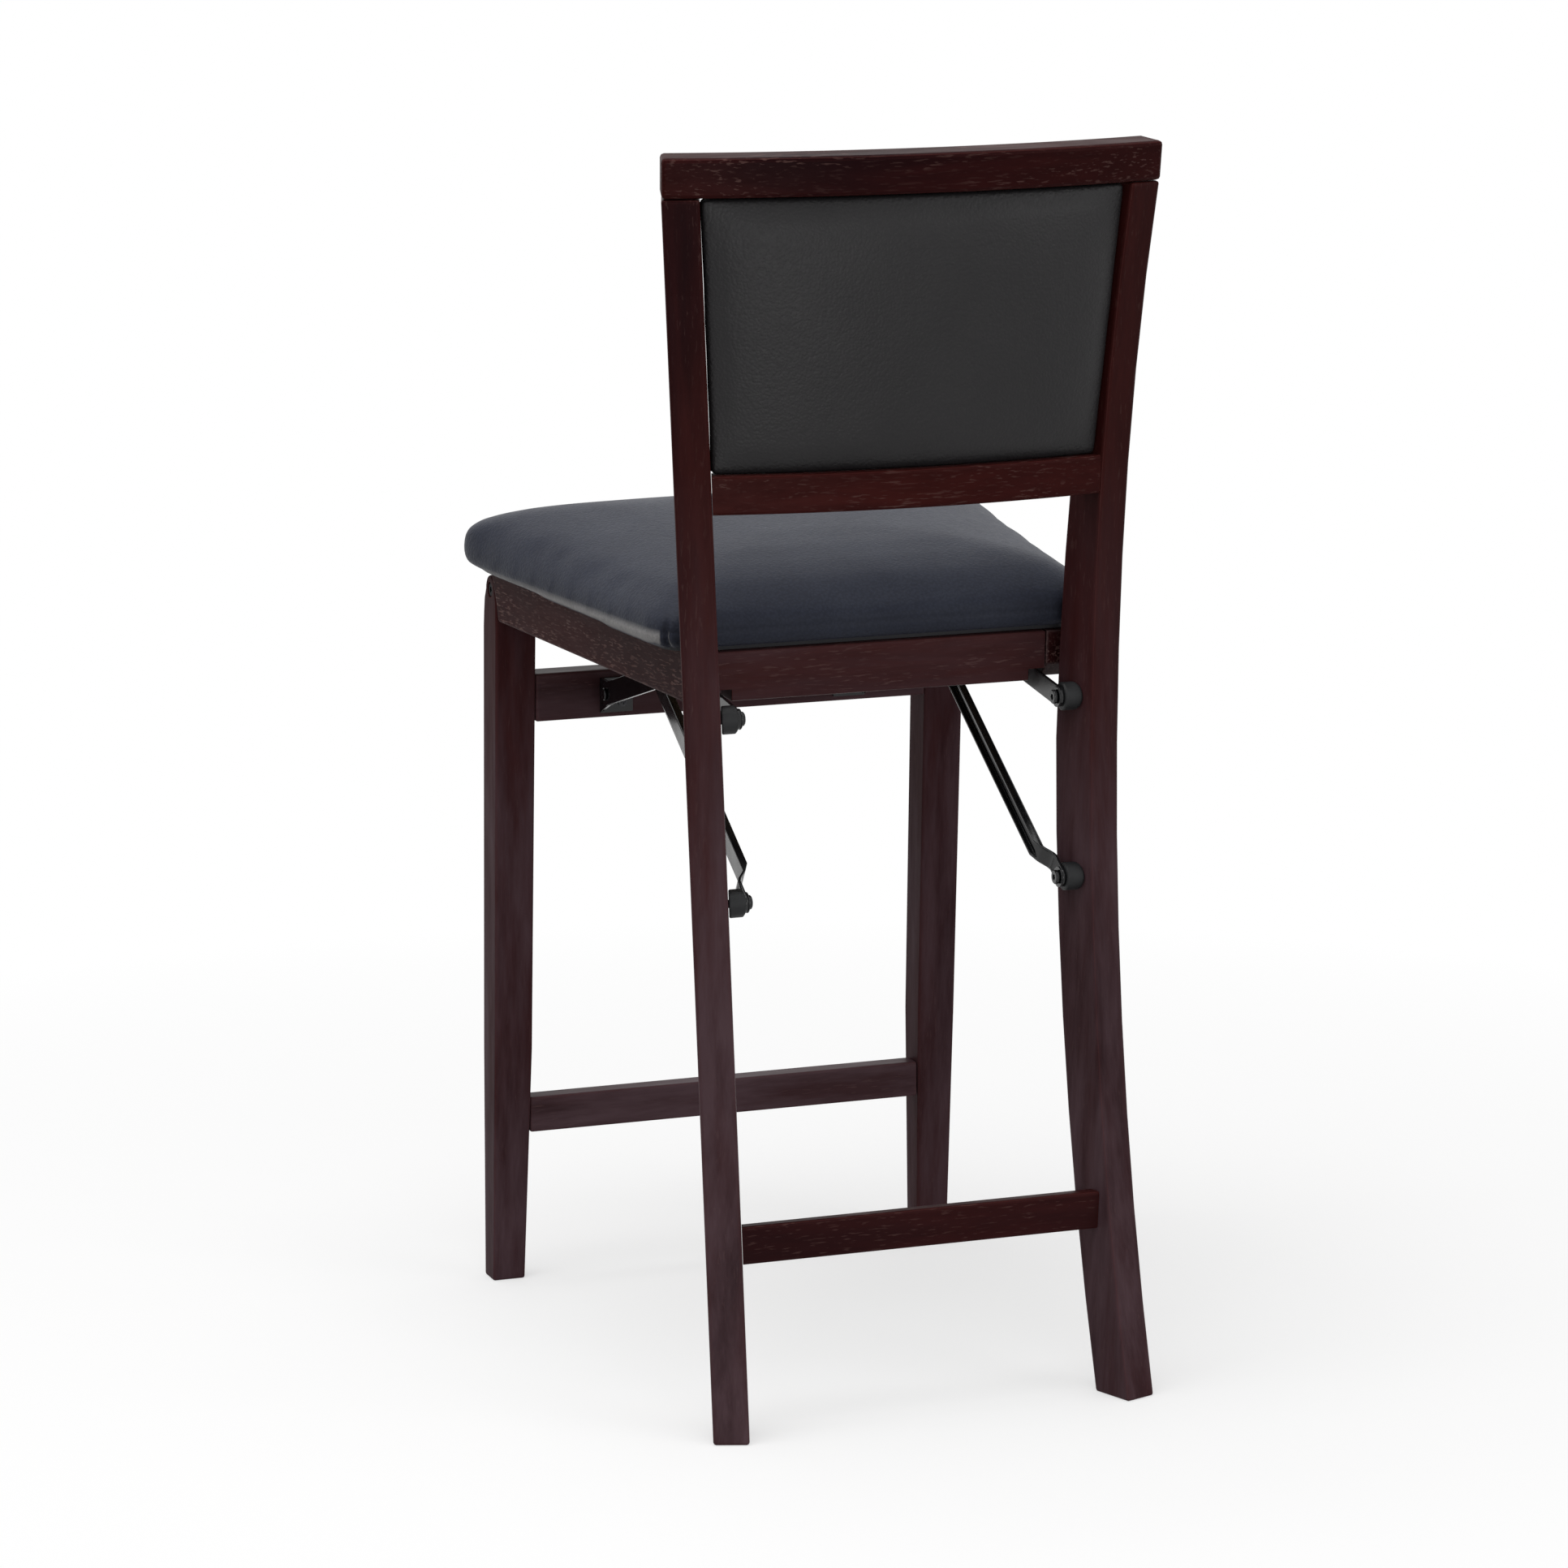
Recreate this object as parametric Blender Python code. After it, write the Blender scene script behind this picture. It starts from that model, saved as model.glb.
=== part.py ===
# Folding counter stool: splayed rear posts, curved padded back, padded seat,
# front legs with apron, and a steel strap linkage on each side that folds the
# seat up between the legs. Metres, +Z up, the front of the stool faces -Y.
import bpy
import bmesh
from math import sin, cos, tan, radians, sqrt, pi, atan2
from mathutils import Vector, Matrix

# Clearances
GAP = 0.0003
HOLE_GAP = 0.0004

# Length of a cutter that runs right through the stool
FAR = 1.0

# Where the rear posts' rear faces stand at mid height, from the front edge
BACK_Y = 0.1891

# Rear posts
POST_TURN = radians(19.65)
POST_FOOT_X = 0.1464
POST_LEAN = 0.0404
POST_TOP = 0.9479
POST_WIDTH_FOOT = 0.0279
POST_WIDTH_TOP = 0.0287
POST_DEPTH_FOOT = 0.0381
POST_DEPTH_MID = 0.0424
POST_DEPTH_TOP = 0.0273
POST_MID = 0.5
POST_WAIST = 0.66
POST_SET_BACK = 0.0085
POST_FOOT_SWEEP = 0.0815
POST_TOP_SWEEP = 0.0199
POST_RINGS = 14
POST_EDGE = 0.0022

# Crest rail on top of the posts
CREST_RADIUS = 0.70
CREST_REAR = 0.0372
CREST_TILT = radians(5.3)
CREST_HEIGHT = 0.0305
CREST_THICK = 0.027
CREST_HALF = 0.2023
CREST_EDGE = 0.003

# Lower back rail and rear stretcher between the posts
LOWER_RADIUS = 0.68
LOWER_REAR = 0.0154
LOWER_Z = 0.7077
LOWER_HEIGHT = 0.0299
LOWER_THICK = 0.020
STRETCHER_REAR = 0.0319
STRETCHER_THICK = 0.0109
STRETCHER_Z = 0.1308
STRETCHER_HEIGHT = 0.0303

# Back pad: a bent board with a padded front and a padded rear
PAD_BOTTOM = LOWER_Z + LOWER_HEIGHT + GAP
PAD_TOP = POST_TOP - GAP
PAD_BOARD = 0.006
PAD_BOARD_INSET = 0.004
PAD_SIDE_GAP = 0.0008
PAD_EDGE = 0.005
PAD_REAR_CROWN = 0.009
PAD_FRONT_CROWN = 0.012
PAD_REAR_SET = 0.0125
PAD_STEPS = 20
PAD_ROWS = 12
PAD_SWELL_SIDE = 4
PAD_SWELL_END = 3
PAD_SWELL_ROUND = 0.6

# Front legs
LEG_OUT_FOOT = 0.2045
LEG_OUT_TOP = 0.2059
LEG_WIDTH_FOOT = 0.0269
LEG_WIDTH_KNEE = 0.0325
LEG_WIDTH_TOP = 0.0344
LEG_REAR_FOOT = 0.4205
LEG_REAR_KNEE = 0.4085
LEG_REAR_TOP = 0.3926
LEG_DEPTH_FOOT = 0.0238
LEG_DEPTH_KNEE = 0.0324
LEG_DEPTH_TOP = 0.0346
LEG_KNEE = 0.2
LEG_SHOULDER_DROP = 0.0322
LEG_CHEEK = 0.0174
LEG_LAP_DROP = 0.0215
LEG_TOP_RADIUS = 0.012
LEG_TOP_TURN = radians(165)
LEG_TOP_STEPS = 12
LEG_REAR_STOP = 0.009
LEG_BROW = (0.0160, 0.008)
LEG_CHIN = (0.0181, 0.020)
LEG_EDGE = 0.0018

# Apron and stretcher between the front legs
APRON_REAR = 0.3954
APRON_THICK = 0.0251
APRON_Z = 0.4791
APRON_HEIGHT = 0.0398
FOOTREST_REAR = 0.4130
FOOTREST_THICK = 0.0186
FOOTREST_Z = 0.1276
FOOTREST_HEIGHT = 0.0299

# Pivots, as distance forward of the posts' rear faces, and height
PIVOT_UPPER = (0.021, 0.547)
PIVOT_LOWER = (0.010, 0.406)
PIVOT_LEG = (0.4077, 0.5892)
PIVOT_APRON = (0.373, 0.503)
PIVOT_BRACKET_REAR = (0.2446, 0.575)
PIVOT_BRACKET_FRONT = (0.2867, 0.575)
PIVOT_MID = (0.2344, 0.5431)
LEG_SHOULDER = PIVOT_LEG[1] - LEG_SHOULDER_DROP

# Seat frame, in its own tilted frame from the leg pivot: back, and up
SEAT_TILT = radians(2.2)
RAIL_LOW = -0.0225
RAIL_HIGH = 0.0168
RAIL_REAR = 0.350
RAIL_REAR_THICK = 0.025
RAIL_SIDE_THICK = 0.0202
RAIL_FLARE = 0.143
RAIL_OUT_FRONT = 0.2058
RAIL_FRONT = 0.0177
RAIL_NOTCH_HALF = 0.1232
RAIL_NOTCH = 0.0096
RAIL_CORNER_CUT = 0.014
TONGUE_RADIUS = 0.0155
TONGUE_END = 0.06
TONGUE_LIFT = 0.004
TONGUE_BEND = 0.010
SHOULDER_TOP = 0.0065
SHOULDER_MID = (0.0158, -0.006)
SHOULDER_LOW = 0.0195
SHOULDER_ROUND = 0.002
FRONT_RAIL_THICK = 0.020
FRONT_RAIL_SET = 0.004
FRONT_RAIL_HEIGHT = 0.030
BOARD_THICK = 0.008
BOARD_INSET = 0.014

# Seat cushion
CUSHION_FRONT = -0.0440
CUSHION_BOW = 0.0145
CUSHION_BOW_TURN = radians(10.3)
CUSHION_CORNER_SHARE = 0.72
CUSHION_CORNER_STEPS = 9
CUSHION_FRONT_STEPS = 12
CUSHION_REAR = 0.3570
CUSHION_SIDE = 0.2238
CUSHION_TAPER_RATIO = 0.126
CUSHION_FRONT_RADIUS = 0.036
CUSHION_REAR_RADIUS = 0.026
CUSHION_TOP = 0.0722
CUSHION_EDGE_HEIGHT = 0.0270
CUSHION_DRAWN_IN = 0.0095
CUSHION_SOFT_EDGE = 0.0008
CUSHION_WALL = ((0.0, CUSHION_DRAWN_IN), (0.12, CUSHION_DRAWN_IN / 2), (0.36, CUSHION_SOFT_EDGE),
                (0.6, 0.0), (1.0, CUSHION_SOFT_EDGE))
CUSHION_CROWN = (0.98, 0.95, 0.90, 0.82, 0.70, 0.52, 0.28)
CUSHION_CROWN_POWER = 3.5

# Strap linkage: inboard faces of each layer, from the middle of the stool
STRAP = 0.0025
STRAP_HIGH = 0.016
BRACKET_X = 0.1256
UPPER_X = 0.1320
LOWER_X = 0.1228
LOWER_END_X = 0.1303
APRON_LINK_X = 0.1165
APRON_EAR_X = 0.1137
STRAP_FLANGE = 0.0038
UPPER_FLANGE = 0.0055
UPPER_FLANGE_START = 0.022
UPPER_FLANGE_STOP = 0.006
LOWER_FLANGE_START = 0.004
LOWER_FLANGE_STOP = 0.012
APRON_LINK_HIGH = 0.019
JOGGLE_START = 0.0170
JOGGLE_END = 0.0250
LINK_END_STEPS = 6
LINK_TIP_TURN = radians(12)

# Bolts, rivets, bumpers and screws
PIN_STEPS = 14
HEAD_STEPS = 20
BUMPER_STEPS = 28
BUMPER_RADIUS = 0.011
BUMPER_EDGE = 0.0008
BOLT_RADIUS = 0.0032
BOLT_HEAD_RADIUS = 0.0056
BOLT_HEAD = 0.0030
HEAD_EDGE = 0.0006
BOLT_SOCKET_RADIUS = 0.0026
BOLT_SOCKET_DEPTH = 0.0018
BOLT_IN_WOOD = 0.012
WASHER_RADIUS = 0.0082
WASHER = 0.0008
RIVET_RADIUS = 0.0030
RIVET_HEAD_RADIUS = 0.0052
RIVET_HEAD = 0.0020
SPACER_RADIUS = 0.0062
LINK_SPACER_RADIUS = 0.0046
SCREW_RADIUS = 0.0019
SCREW_HEAD_RADIUS = 0.0042
SCREW_HEAD = 0.0018
SCREW_LENGTH = 0.011
LEG_BOLT_HEAD_RADIUS = 0.0058
LEG_BOLT_HEAD = 0.0022
LEG_BOLT_FLOOR = 0.001
LEG_BORE_RADIUS = 0.0064
LEG_BORE_DEPTH = 0.0032
LEG_NUT_RADIUS = 0.0056
LEG_NUT = 0.0040

# Metal plates and wooden corner blocks
PLATE = 0.0025
BRACKET_FLANGE_WIDTH = 0.018
BRACKET_SCREW_IN = 0.0108
BRACKET_SCREW_OUT = 0.0032
BRACKET_LUG = 0.0095
APRON_FLANGE_LOW = 0.4835
APRON_FLANGE_HIGH = 0.5125
APRON_FLANGE_IN = 0.0885
APRON_SCREW = (0.0974, 0.492)
BLOCK_LEG = 0.042
BLOCK_ACROSS = 0.0294
BLOCK_HIGH = 0.022
BLOCK_EDGE = 0.0011

# Colours
WOOD = (0.046, 0.0125, 0.0095)
BACK_VINYL = (0.024, 0.024, 0.026)
SEAT_VINYL = (0.062, 0.070, 0.084)
PLYWOOD = (0.30, 0.19, 0.10)
BLACK_STEEL = (0.012, 0.012, 0.013)
RUBBER = (0.026, 0.029, 0.032)
ZINC = (0.50, 0.50, 0.50)

SIDES = (("left", 1), ("right", -1))


# Scene and materials
def clear_scene():
    for item in list(bpy.data.objects):
        bpy.data.objects.remove(item, do_unlink=True)


def material(name, colour, roughness, metallic=0.0):
    made = bpy.data.materials.new(name)
    made.use_nodes = True
    shader = made.node_tree.nodes["Principled BSDF"]
    shader.inputs["Base Color"].default_value = (*colour, 1.0)
    shader.inputs["Roughness"].default_value = roughness
    shader.inputs["Metallic"].default_value = metallic
    made.diffuse_color = (*colour, 1.0)
    return made


# A body from its vertices and faces, with the faces turned outward
def body(name, verts, faces, finish):
    form = bmesh.new()
    points = [form.verts.new(v) for v in verts]
    for face in faces:
        form.faces.new([points[i] for i in face])
    bmesh.ops.recalc_face_normals(form, faces=form.faces)
    mesh = bpy.data.meshes.new(name)
    form.to_mesh(mesh)
    form.free()
    mesh.materials.append(finish)
    made = bpy.data.objects.new(name, mesh)
    bpy.context.collection.objects.link(made)
    return made


# A body through rings of the same number of points, closed at both ends
def loft(name, rings, finish):
    count = len(rings[0])
    verts = [point for ring in rings for point in ring]
    faces = []
    for k in range(len(rings) - 1):
        for i in range(count):
            j = (i + 1) % count
            faces.append((k * count + i, k * count + j, (k + 1) * count + j, (k + 1) * count + i))
    faces.append(tuple(range(count)))
    last = (len(rings) - 1) * count
    faces.append(tuple(last + i for i in range(count)))
    return body(name, verts, faces, finish)


# An outline pushed along X, Y or Z
def prism(name, outline, low, high, axis, finish):
    def place(point, along):
        if axis == "X":
            return (along, point[0], point[1])
        if axis == "Y":
            return (point[0], along, point[1])
        return (point[0], point[1], along)
    rings = [[place(p, low) for p in outline], [place(p, high) for p in outline]]
    return loft(name, rings, finish)


def arc(centre, radius, start, end, steps):
    turns = [start + (end - start) * k / steps for k in range(steps + 1)]
    return [(centre[0] + radius * cos(a), centre[1] + radius * sin(a)) for a in turns]


def circle(centre, radius, steps):
    return arc(centre, radius, 0.0, 2 * pi, steps)[:-1]


def pin(name, centre, radius, low, high, finish, steps=HEAD_STEPS):
    return prism(name, circle(centre, radius, steps), low, high, "X", finish)


# The slot shape round two pins, for straps and links
def slot(start, end, half_wide, steps=10):
    lean = atan2(end[1] - start[1], end[0] - start[0])
    far = arc(end, half_wide, lean - pi / 2, lean + pi / 2, steps)
    near = arc(start, half_wide, lean + pi / 2, lean + 3 * pi / 2, steps)
    return far + near


# Modifiers
def apply_last(item):
    bpy.context.view_layer.objects.active = item
    bpy.ops.object.modifier_apply(modifier=item.modifiers[-1].name)


def ease(item, width, steps=2, limit=30):
    tool = item.modifiers.new("ease", "BEVEL")
    tool.width = width
    tool.segments = steps
    tool.limit_method = "ANGLE"
    tool.angle_limit = radians(limit)
    tool.harden_normals = False
    apply_last(item)
    return item


def combine(item, other, operation):
    tool = item.modifiers.new("combine", "BOOLEAN")
    tool.operation = operation
    tool.solver = "EXACT"
    tool.object = other
    apply_last(item)
    bpy.data.objects.remove(other, do_unlink=True)
    return item


def cut(item, *others):
    for other in others:
        combine(item, other, "DIFFERENCE")
    return item


def join(item, *others):
    for other in others:
        combine(item, other, "UNION")
    return item


def smooth(item, limit=35):
    item.data.shade_smooth()
    item.data.set_sharp_from_angle(angle=radians(limit))
    return item


# Points in the stool's side view, from a distance forward and a height
def side(point):
    return (BACK_Y - point[0], point[1])


# Pieces of the seat are made flat and then tilted about the leg pivot
def seat_place():
    y, z = side(PIVOT_LEG)
    return Matrix.Translation((0.0, y, z)) @ Matrix.Rotation(-SEAT_TILT, 4, "X")


def on_seat(item):
    item.data.transform(seat_place())
    return item


def seat_point(point):
    y, z = side(point)
    local = seat_place().inverted() @ Vector((0.0, y, z))
    return (local.y, local.z)


# Rear posts
def post_sweep(z):
    if z < POST_WAIST:
        return POST_FOOT_SWEEP * (1 - z / POST_WAIST) ** 2 - POST_SET_BACK
    share = (z - POST_WAIST) / (POST_TOP - POST_WAIST)
    return POST_TOP_SWEEP * share ** 2 - POST_SET_BACK


def post_depth(z):
    if z < POST_MID:
        return POST_DEPTH_FOOT + (POST_DEPTH_MID - POST_DEPTH_FOOT) * z / POST_MID
    share = (z - POST_MID) / (POST_TOP - POST_MID)
    return POST_DEPTH_MID + (POST_DEPTH_TOP - POST_DEPTH_MID) * share


def post_width(z):
    return POST_WIDTH_FOOT + (POST_WIDTH_TOP - POST_WIDTH_FOOT) * z / POST_TOP


# One level of a post: rear outer, rear inner, front inner, front outer
def post_ring(z, mirror, grow=0.0):
    back = Vector((sin(POST_TURN), cos(POST_TURN)))
    across = Vector((cos(POST_TURN), -sin(POST_TURN)))
    rear = Vector((POST_FOOT_X + POST_LEAN * z, BACK_Y)) + back * (post_sweep(z) + grow)
    wide = across * (post_width(z) / 2 + grow)
    deep = back * (post_depth(z) + 2 * grow)
    corners = (rear + wide, rear - wide, rear - wide - deep, rear + wide - deep)
    slope = tan(CREST_TILT) if z >= POST_TOP else 0.0
    lift = (0.0, 0.0, post_depth(z) * slope, post_depth(z) * slope)
    return [(mirror * p.x, p.y, z + up) for p, up in zip(corners, lift)]


def post(name, mirror, finish):
    levels = [POST_TOP * k / (POST_RINGS - 1) for k in range(POST_RINGS)]
    made = loft(name, [post_ring(z, mirror) for z in levels], finish)
    ease(made, POST_EDGE)
    for pivot in (PIVOT_UPPER, PIVOT_LOWER):
        start = post_face_x(pivot) - BUMPER_RADIUS
        end = post_face_x(pivot) + BOLT_IN_WOOD + GAP
        low, high = sorted((mirror * start, mirror * end))
        cut(made, pin("bore", side(pivot), BOLT_RADIUS + HOLE_GAP, low, high, finish))
    return made


# Where a post's inner face stands beside a pivot
def post_face_x(pivot):
    forward, z = pivot
    inner = post_ring(z, 1)[1]
    return inner[0] + (BACK_Y - forward - inner[1]) * tan(POST_TURN)


# A post grown by the clearance, round a rail, to cut what stands between the posts
def post_space(mirror, low, high, finish):
    steps = 6
    levels = [low + high * (2 * k / steps - 0.5) for k in range(steps + 1)]
    return loft("space", [post_ring(z, mirror, GAP) for z in levels], finish)


# A curved rail: rectangle section swept along an arc in plan
def curved_rail(name, radius, rear, low, high, thick, half_angle, tilt, steps, finish):
    up = Vector((sin(tilt), cos(tilt))) * (high - low) / cos(tilt)
    ahead = Vector((-cos(tilt), sin(tilt))) * thick
    start = Vector((radius, low))
    section = (start, start + up, start + up + ahead, start + ahead)
    middle = BACK_Y + rear - radius
    rings = []
    for k in range(steps + 1):
        turn = half_angle * (2 * k / steps - 1)
        rings.append([(p.x * sin(turn), middle + p.x * cos(turn), p.y) for p in section])
    return loft(name, rings, finish)


def crest_rail(finish):
    low = POST_TOP + 2 * GAP
    high = low + CREST_HEIGHT * cos(CREST_TILT)
    half = atan2(CREST_HALF, sqrt(CREST_RADIUS ** 2 - CREST_HALF ** 2))
    made = curved_rail("crest_rail", CREST_RADIUS, CREST_REAR, low, high, CREST_THICK, half,
                       CREST_TILT, 20, finish)
    return ease(made, CREST_EDGE)


def lower_rail(finish):
    reach = sum(p[0] for p in post_ring(LOWER_Z + LOWER_HEIGHT / 2, 1)) / 4
    half = atan2(reach, sqrt(LOWER_RADIUS ** 2 - reach ** 2))
    made = curved_rail("lower_back_rail", LOWER_RADIUS, LOWER_REAR, LOWER_Z,
                       LOWER_Z + LOWER_HEIGHT, LOWER_THICK, half, 0.0, 16, finish)
    ease(made, POST_EDGE)
    for mirror in (1, -1):
        cut(made, post_space(mirror, LOWER_Z, LOWER_HEIGHT, finish))
    return made


def box(name, low, high, finish):
    outline = [(low[0], low[1]), (high[0], low[1]), (high[0], high[1]), (low[0], high[1])]
    return prism(name, outline, low[2], high[2], "Z", finish)


def rear_stretcher(finish):
    rear = BACK_Y + STRETCHER_REAR
    reach = POST_FOOT_X + POST_LEAN * STRETCHER_Z
    made = box("rear_stretcher", (-reach, rear - STRETCHER_THICK, STRETCHER_Z),
               (reach, rear, STRETCHER_Z + STRETCHER_HEIGHT), finish)
    ease(made, POST_EDGE)
    for mirror in (1, -1):
        cut(made, post_space(mirror, STRETCHER_Z, STRETCHER_HEIGHT, finish))
    return made


# Back pad: half its width at a height, between the posts' inner faces
def pad_half(z, ahead):
    inner = post_ring(min(z, POST_TOP - GAP), 1)[1]
    return inner[0] - PAD_SIDE_GAP - tan(POST_TURN) * ahead


# A place in the pad by a share across, a share up and a distance ahead
def pad_point(across, share_up, ahead, drawn=0.0):
    z = PAD_BOTTOM + drawn + (PAD_TOP - PAD_BOTTOM - 2 * drawn) * share_up
    share = (z - PAD_BOTTOM) / (PAD_TOP - PAD_BOTTOM)
    radius = LOWER_RADIUS + (CREST_RADIUS - LOWER_RADIUS) * share
    rear = LOWER_REAR + (CREST_REAR - LOWER_REAR) * share - PAD_REAR_SET
    half = pad_half(z, max(ahead, 0.0) + PAD_REAR_SET) - drawn
    chord = across * half
    turn = atan2(chord, sqrt(radius ** 2 - chord ** 2))
    reach = radius - ahead
    y = BACK_Y + rear - radius + reach * cos(turn)
    return (reach * sin(turn), y, z)


# A padded face: edge wall, drawn-in seam and a crown, over a flat bent back
def pad_cushion(name, near, toward, crown, finish):
    across_steps = PAD_STEPS
    up_steps = PAD_ROWS
    def grid(share):
        return [2 * k / share - 1 for k in range(share + 1)]
    def swell(value, power):
        return max(0.0, 1 - abs(value) ** power)
    verts = []
    faces = []
    sheets = ((near, 0.0, 0.0), (near + toward * PAD_EDGE, crown, PAD_EDGE / 3))
    for base, rise, drawn in sheets:
        for v in grid(up_steps):
            for s in grid(across_steps):
                lift = rise * (swell(s, PAD_SWELL_SIDE) * swell(v, PAD_SWELL_END)) ** PAD_SWELL_ROUND
                verts.append(pad_point(s, (v + 1) / 2, base + toward * lift, drawn))
    wide = across_steps + 1
    size = wide * (up_steps + 1)
    for sheet in (0, size):
        for j in range(up_steps):
            for i in range(across_steps):
                a = sheet + j * wide + i
                faces.append((a, a + 1, a + wide + 1, a + wide))
    rim = [i for i in range(wide)]
    rim += [j * wide + across_steps for j in range(1, up_steps + 1)]
    rim += [up_steps * wide + i for i in range(across_steps - 1, -1, -1)]
    rim += [j * wide for j in range(up_steps - 1, 0, -1)]
    for k, a in enumerate(rim):
        b = rim[(k + 1) % len(rim)]
        faces.append((a, b, b + size, a + size))
    return smooth(body(name, verts, faces, finish), 50)


def pad_board(finish):
    rings = []
    for k in range(PAD_STEPS + 1):
        s = 2 * k / PAD_STEPS - 1
        ring = [pad_point(s, v, ahead, PAD_BOARD_INSET) for v, ahead in
                ((0.0, 0.0), (1.0, 0.0), (1.0, PAD_BOARD), (0.0, PAD_BOARD))]
        rings.append(ring)
    return loft("back_pad_board", rings, finish)


# Front legs: side profile crossed with the front profile
def leg_profile():
    forward, z = PIVOT_LEG
    rear = [(LEG_REAR_FOOT, 0.0), (LEG_REAR_KNEE, LEG_KNEE), (LEG_REAR_TOP, LEG_SHOULDER)]
    rear.append((LEG_REAR_TOP, z - LEG_REAR_STOP))
    dome = arc((forward, z), LEG_TOP_RADIUS, LEG_TOP_TURN, 0.0, LEG_TOP_STEPS)
    front = [(forward + ahead, z - drop) for ahead, drop in (LEG_BROW, LEG_CHIN)]
    front.append((LEG_REAR_TOP + LEG_DEPTH_TOP, LEG_SHOULDER))
    front.append((LEG_REAR_KNEE + LEG_DEPTH_KNEE, LEG_KNEE))
    front.append((LEG_REAR_FOOT + LEG_DEPTH_FOOT, 0.0))
    return [side(p) for p in rear + dome + front]


def leg_inner(z):
    if z < LEG_KNEE:
        share = z / LEG_KNEE
        width = LEG_WIDTH_FOOT + (LEG_WIDTH_KNEE - LEG_WIDTH_FOOT) * share
    else:
        share = min(1.0, (z - LEG_KNEE) / (LEG_SHOULDER - LEG_KNEE))
        width = LEG_WIDTH_KNEE + (LEG_WIDTH_TOP - LEG_WIDTH_KNEE) * share
    return leg_outer(z) - width


def leg_outer(z):
    share = min(1.0, z / LEG_SHOULDER)
    return LEG_OUT_FOOT + (LEG_OUT_TOP - LEG_OUT_FOOT) * share


def front_leg(name, mirror, finish):
    forward, z = PIVOT_LEG
    y = BACK_Y - forward
    levels = (-LEG_WIDTH_TOP, LEG_KNEE, LEG_SHOULDER, z + LEG_WIDTH_TOP)
    outline = [(mirror * leg_outer(max(level, 0.0)), level) for level in levels]
    outline += [(mirror * leg_inner(max(level, 0.0)), level) for level in reversed(levels)]
    made = prism(name, leg_profile(), *sorted((0.0, mirror * FAR)), "X", finish)
    combine(made, prism("front_view", outline, -FAR, FAR, "Y", finish), "INTERSECT")
    ease(made, LEG_EDGE)
    inside, outside = sorted((0.0, mirror * (LEG_OUT_TOP - LEG_CHEEK)))
    cut(made, box("lap", (inside, -FAR, z - LEG_LAP_DROP), (outside, FAR, FAR), finish))
    bore_low, bore_high = sorted((0.0, mirror * FAR))
    head_low, head_high = sorted((mirror * (LEG_OUT_TOP - LEG_BORE_DEPTH), mirror * FAR))
    cut(made, pin("bore", (y, z), BOLT_RADIUS + HOLE_GAP, bore_low, bore_high, finish))
    cut(made, pin("counterbore", (y, z), LEG_BORE_RADIUS, head_low, head_high, finish))
    return made


def between_legs(name, rear, thick, low, high, finish):
    half = min(leg_inner(low), leg_inner(high)) - GAP
    y = BACK_Y - rear
    made = box(name, (-half, y - thick, low), (half, y, high), finish)
    return ease(made, LEG_EDGE)


# Seat frame
def rail_outer(back):
    return RAIL_OUT_FRONT - RAIL_FLARE * (back - RAIL_FRONT)


def tongue_outer():
    return LEG_OUT_TOP - LEG_CHEEK - GAP


def tongue_inner():
    return LEG_OUT_TOP - LEG_WIDTH_TOP


def side_rail(name, mirror, finish):
    bend = (rail_outer(0.0) - RAIL_SIDE_THICK - tongue_inner()) / RAIL_FLARE
    end = RAIL_REAR
    start = -TONGUE_RADIUS
    plan = [(rail_outer(start), start), (rail_outer(end), end)]
    plan += [(rail_outer(end) - RAIL_SIDE_THICK, end), (tongue_inner(), bend), (tongue_inner(), start)]
    plan = [(mirror * x, y) for x, y in plan]
    rear_profile = [(end, RAIL_LOW + RAIL_NOTCH + RAIL_CORNER_CUT / 4), (end, RAIL_HIGH)]
    low_back = [(end - RAIL_CORNER_CUT, RAIL_LOW)]
    shoulder = [(SHOULDER_TOP, RAIL_HIGH), SHOULDER_MID]
    shoulder += [(SHOULDER_LOW, RAIL_LOW + SHOULDER_ROUND), (SHOULDER_LOW + SHOULDER_ROUND, RAIL_LOW)]
    made = prism(name, plan, RAIL_LOW, RAIL_HIGH, "Z", finish)
    profile = rear_profile + shoulder + low_back
    combine(made, prism("profile", profile, -FAR, FAR, "X", finish), "INTERSECT")
    ease(made, LEG_EDGE)
    tip = arc((0.0, 0.0), TONGUE_RADIUS, radians(90), radians(255), 14)
    low = RAIL_LOW + TONGUE_LIFT
    tongue = [(TONGUE_END, low), (TONGUE_END, TONGUE_RADIUS)] + tip + [(TONGUE_BEND, low)]
    near, far = sorted((mirror * tongue_inner(), mirror * tongue_outer()))
    join(made, prism("tongue", tongue, near, far, "X", finish))
    low, high = sorted((0.0, mirror * FAR))
    cut(made, pin("bore", (0.0, 0.0), BOLT_RADIUS + HOLE_GAP, low, high, finish))
    return on_seat(made)


def rear_rail(finish):
    half = rail_outer(RAIL_REAR) - RAIL_SIDE_THICK - GAP
    front = RAIL_REAR - RAIL_REAR_THICK
    made = box("seat_rear_rail", (-half, front, RAIL_LOW), (half, RAIL_REAR, RAIL_HIGH), finish)
    ease(made, LEG_EDGE)
    for mirror in (1, -1):
        low, high = sorted((mirror * RAIL_NOTCH_HALF, mirror * FAR))
        cut(made, box("notch", (low, -FAR, -FAR), (high, FAR, RAIL_LOW + RAIL_NOTCH), finish))
    return on_seat(made)


def front_rail(finish):
    half = tongue_inner() - GAP
    low = RAIL_HIGH - FRONT_RAIL_HEIGHT
    near = LEG_NUT_RADIUS + FRONT_RAIL_SET
    made = box("seat_front_rail", (-half, near, low), (half, near + FRONT_RAIL_THICK, RAIL_HIGH), finish)
    return on_seat(ease(made, LEG_EDGE))


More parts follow.
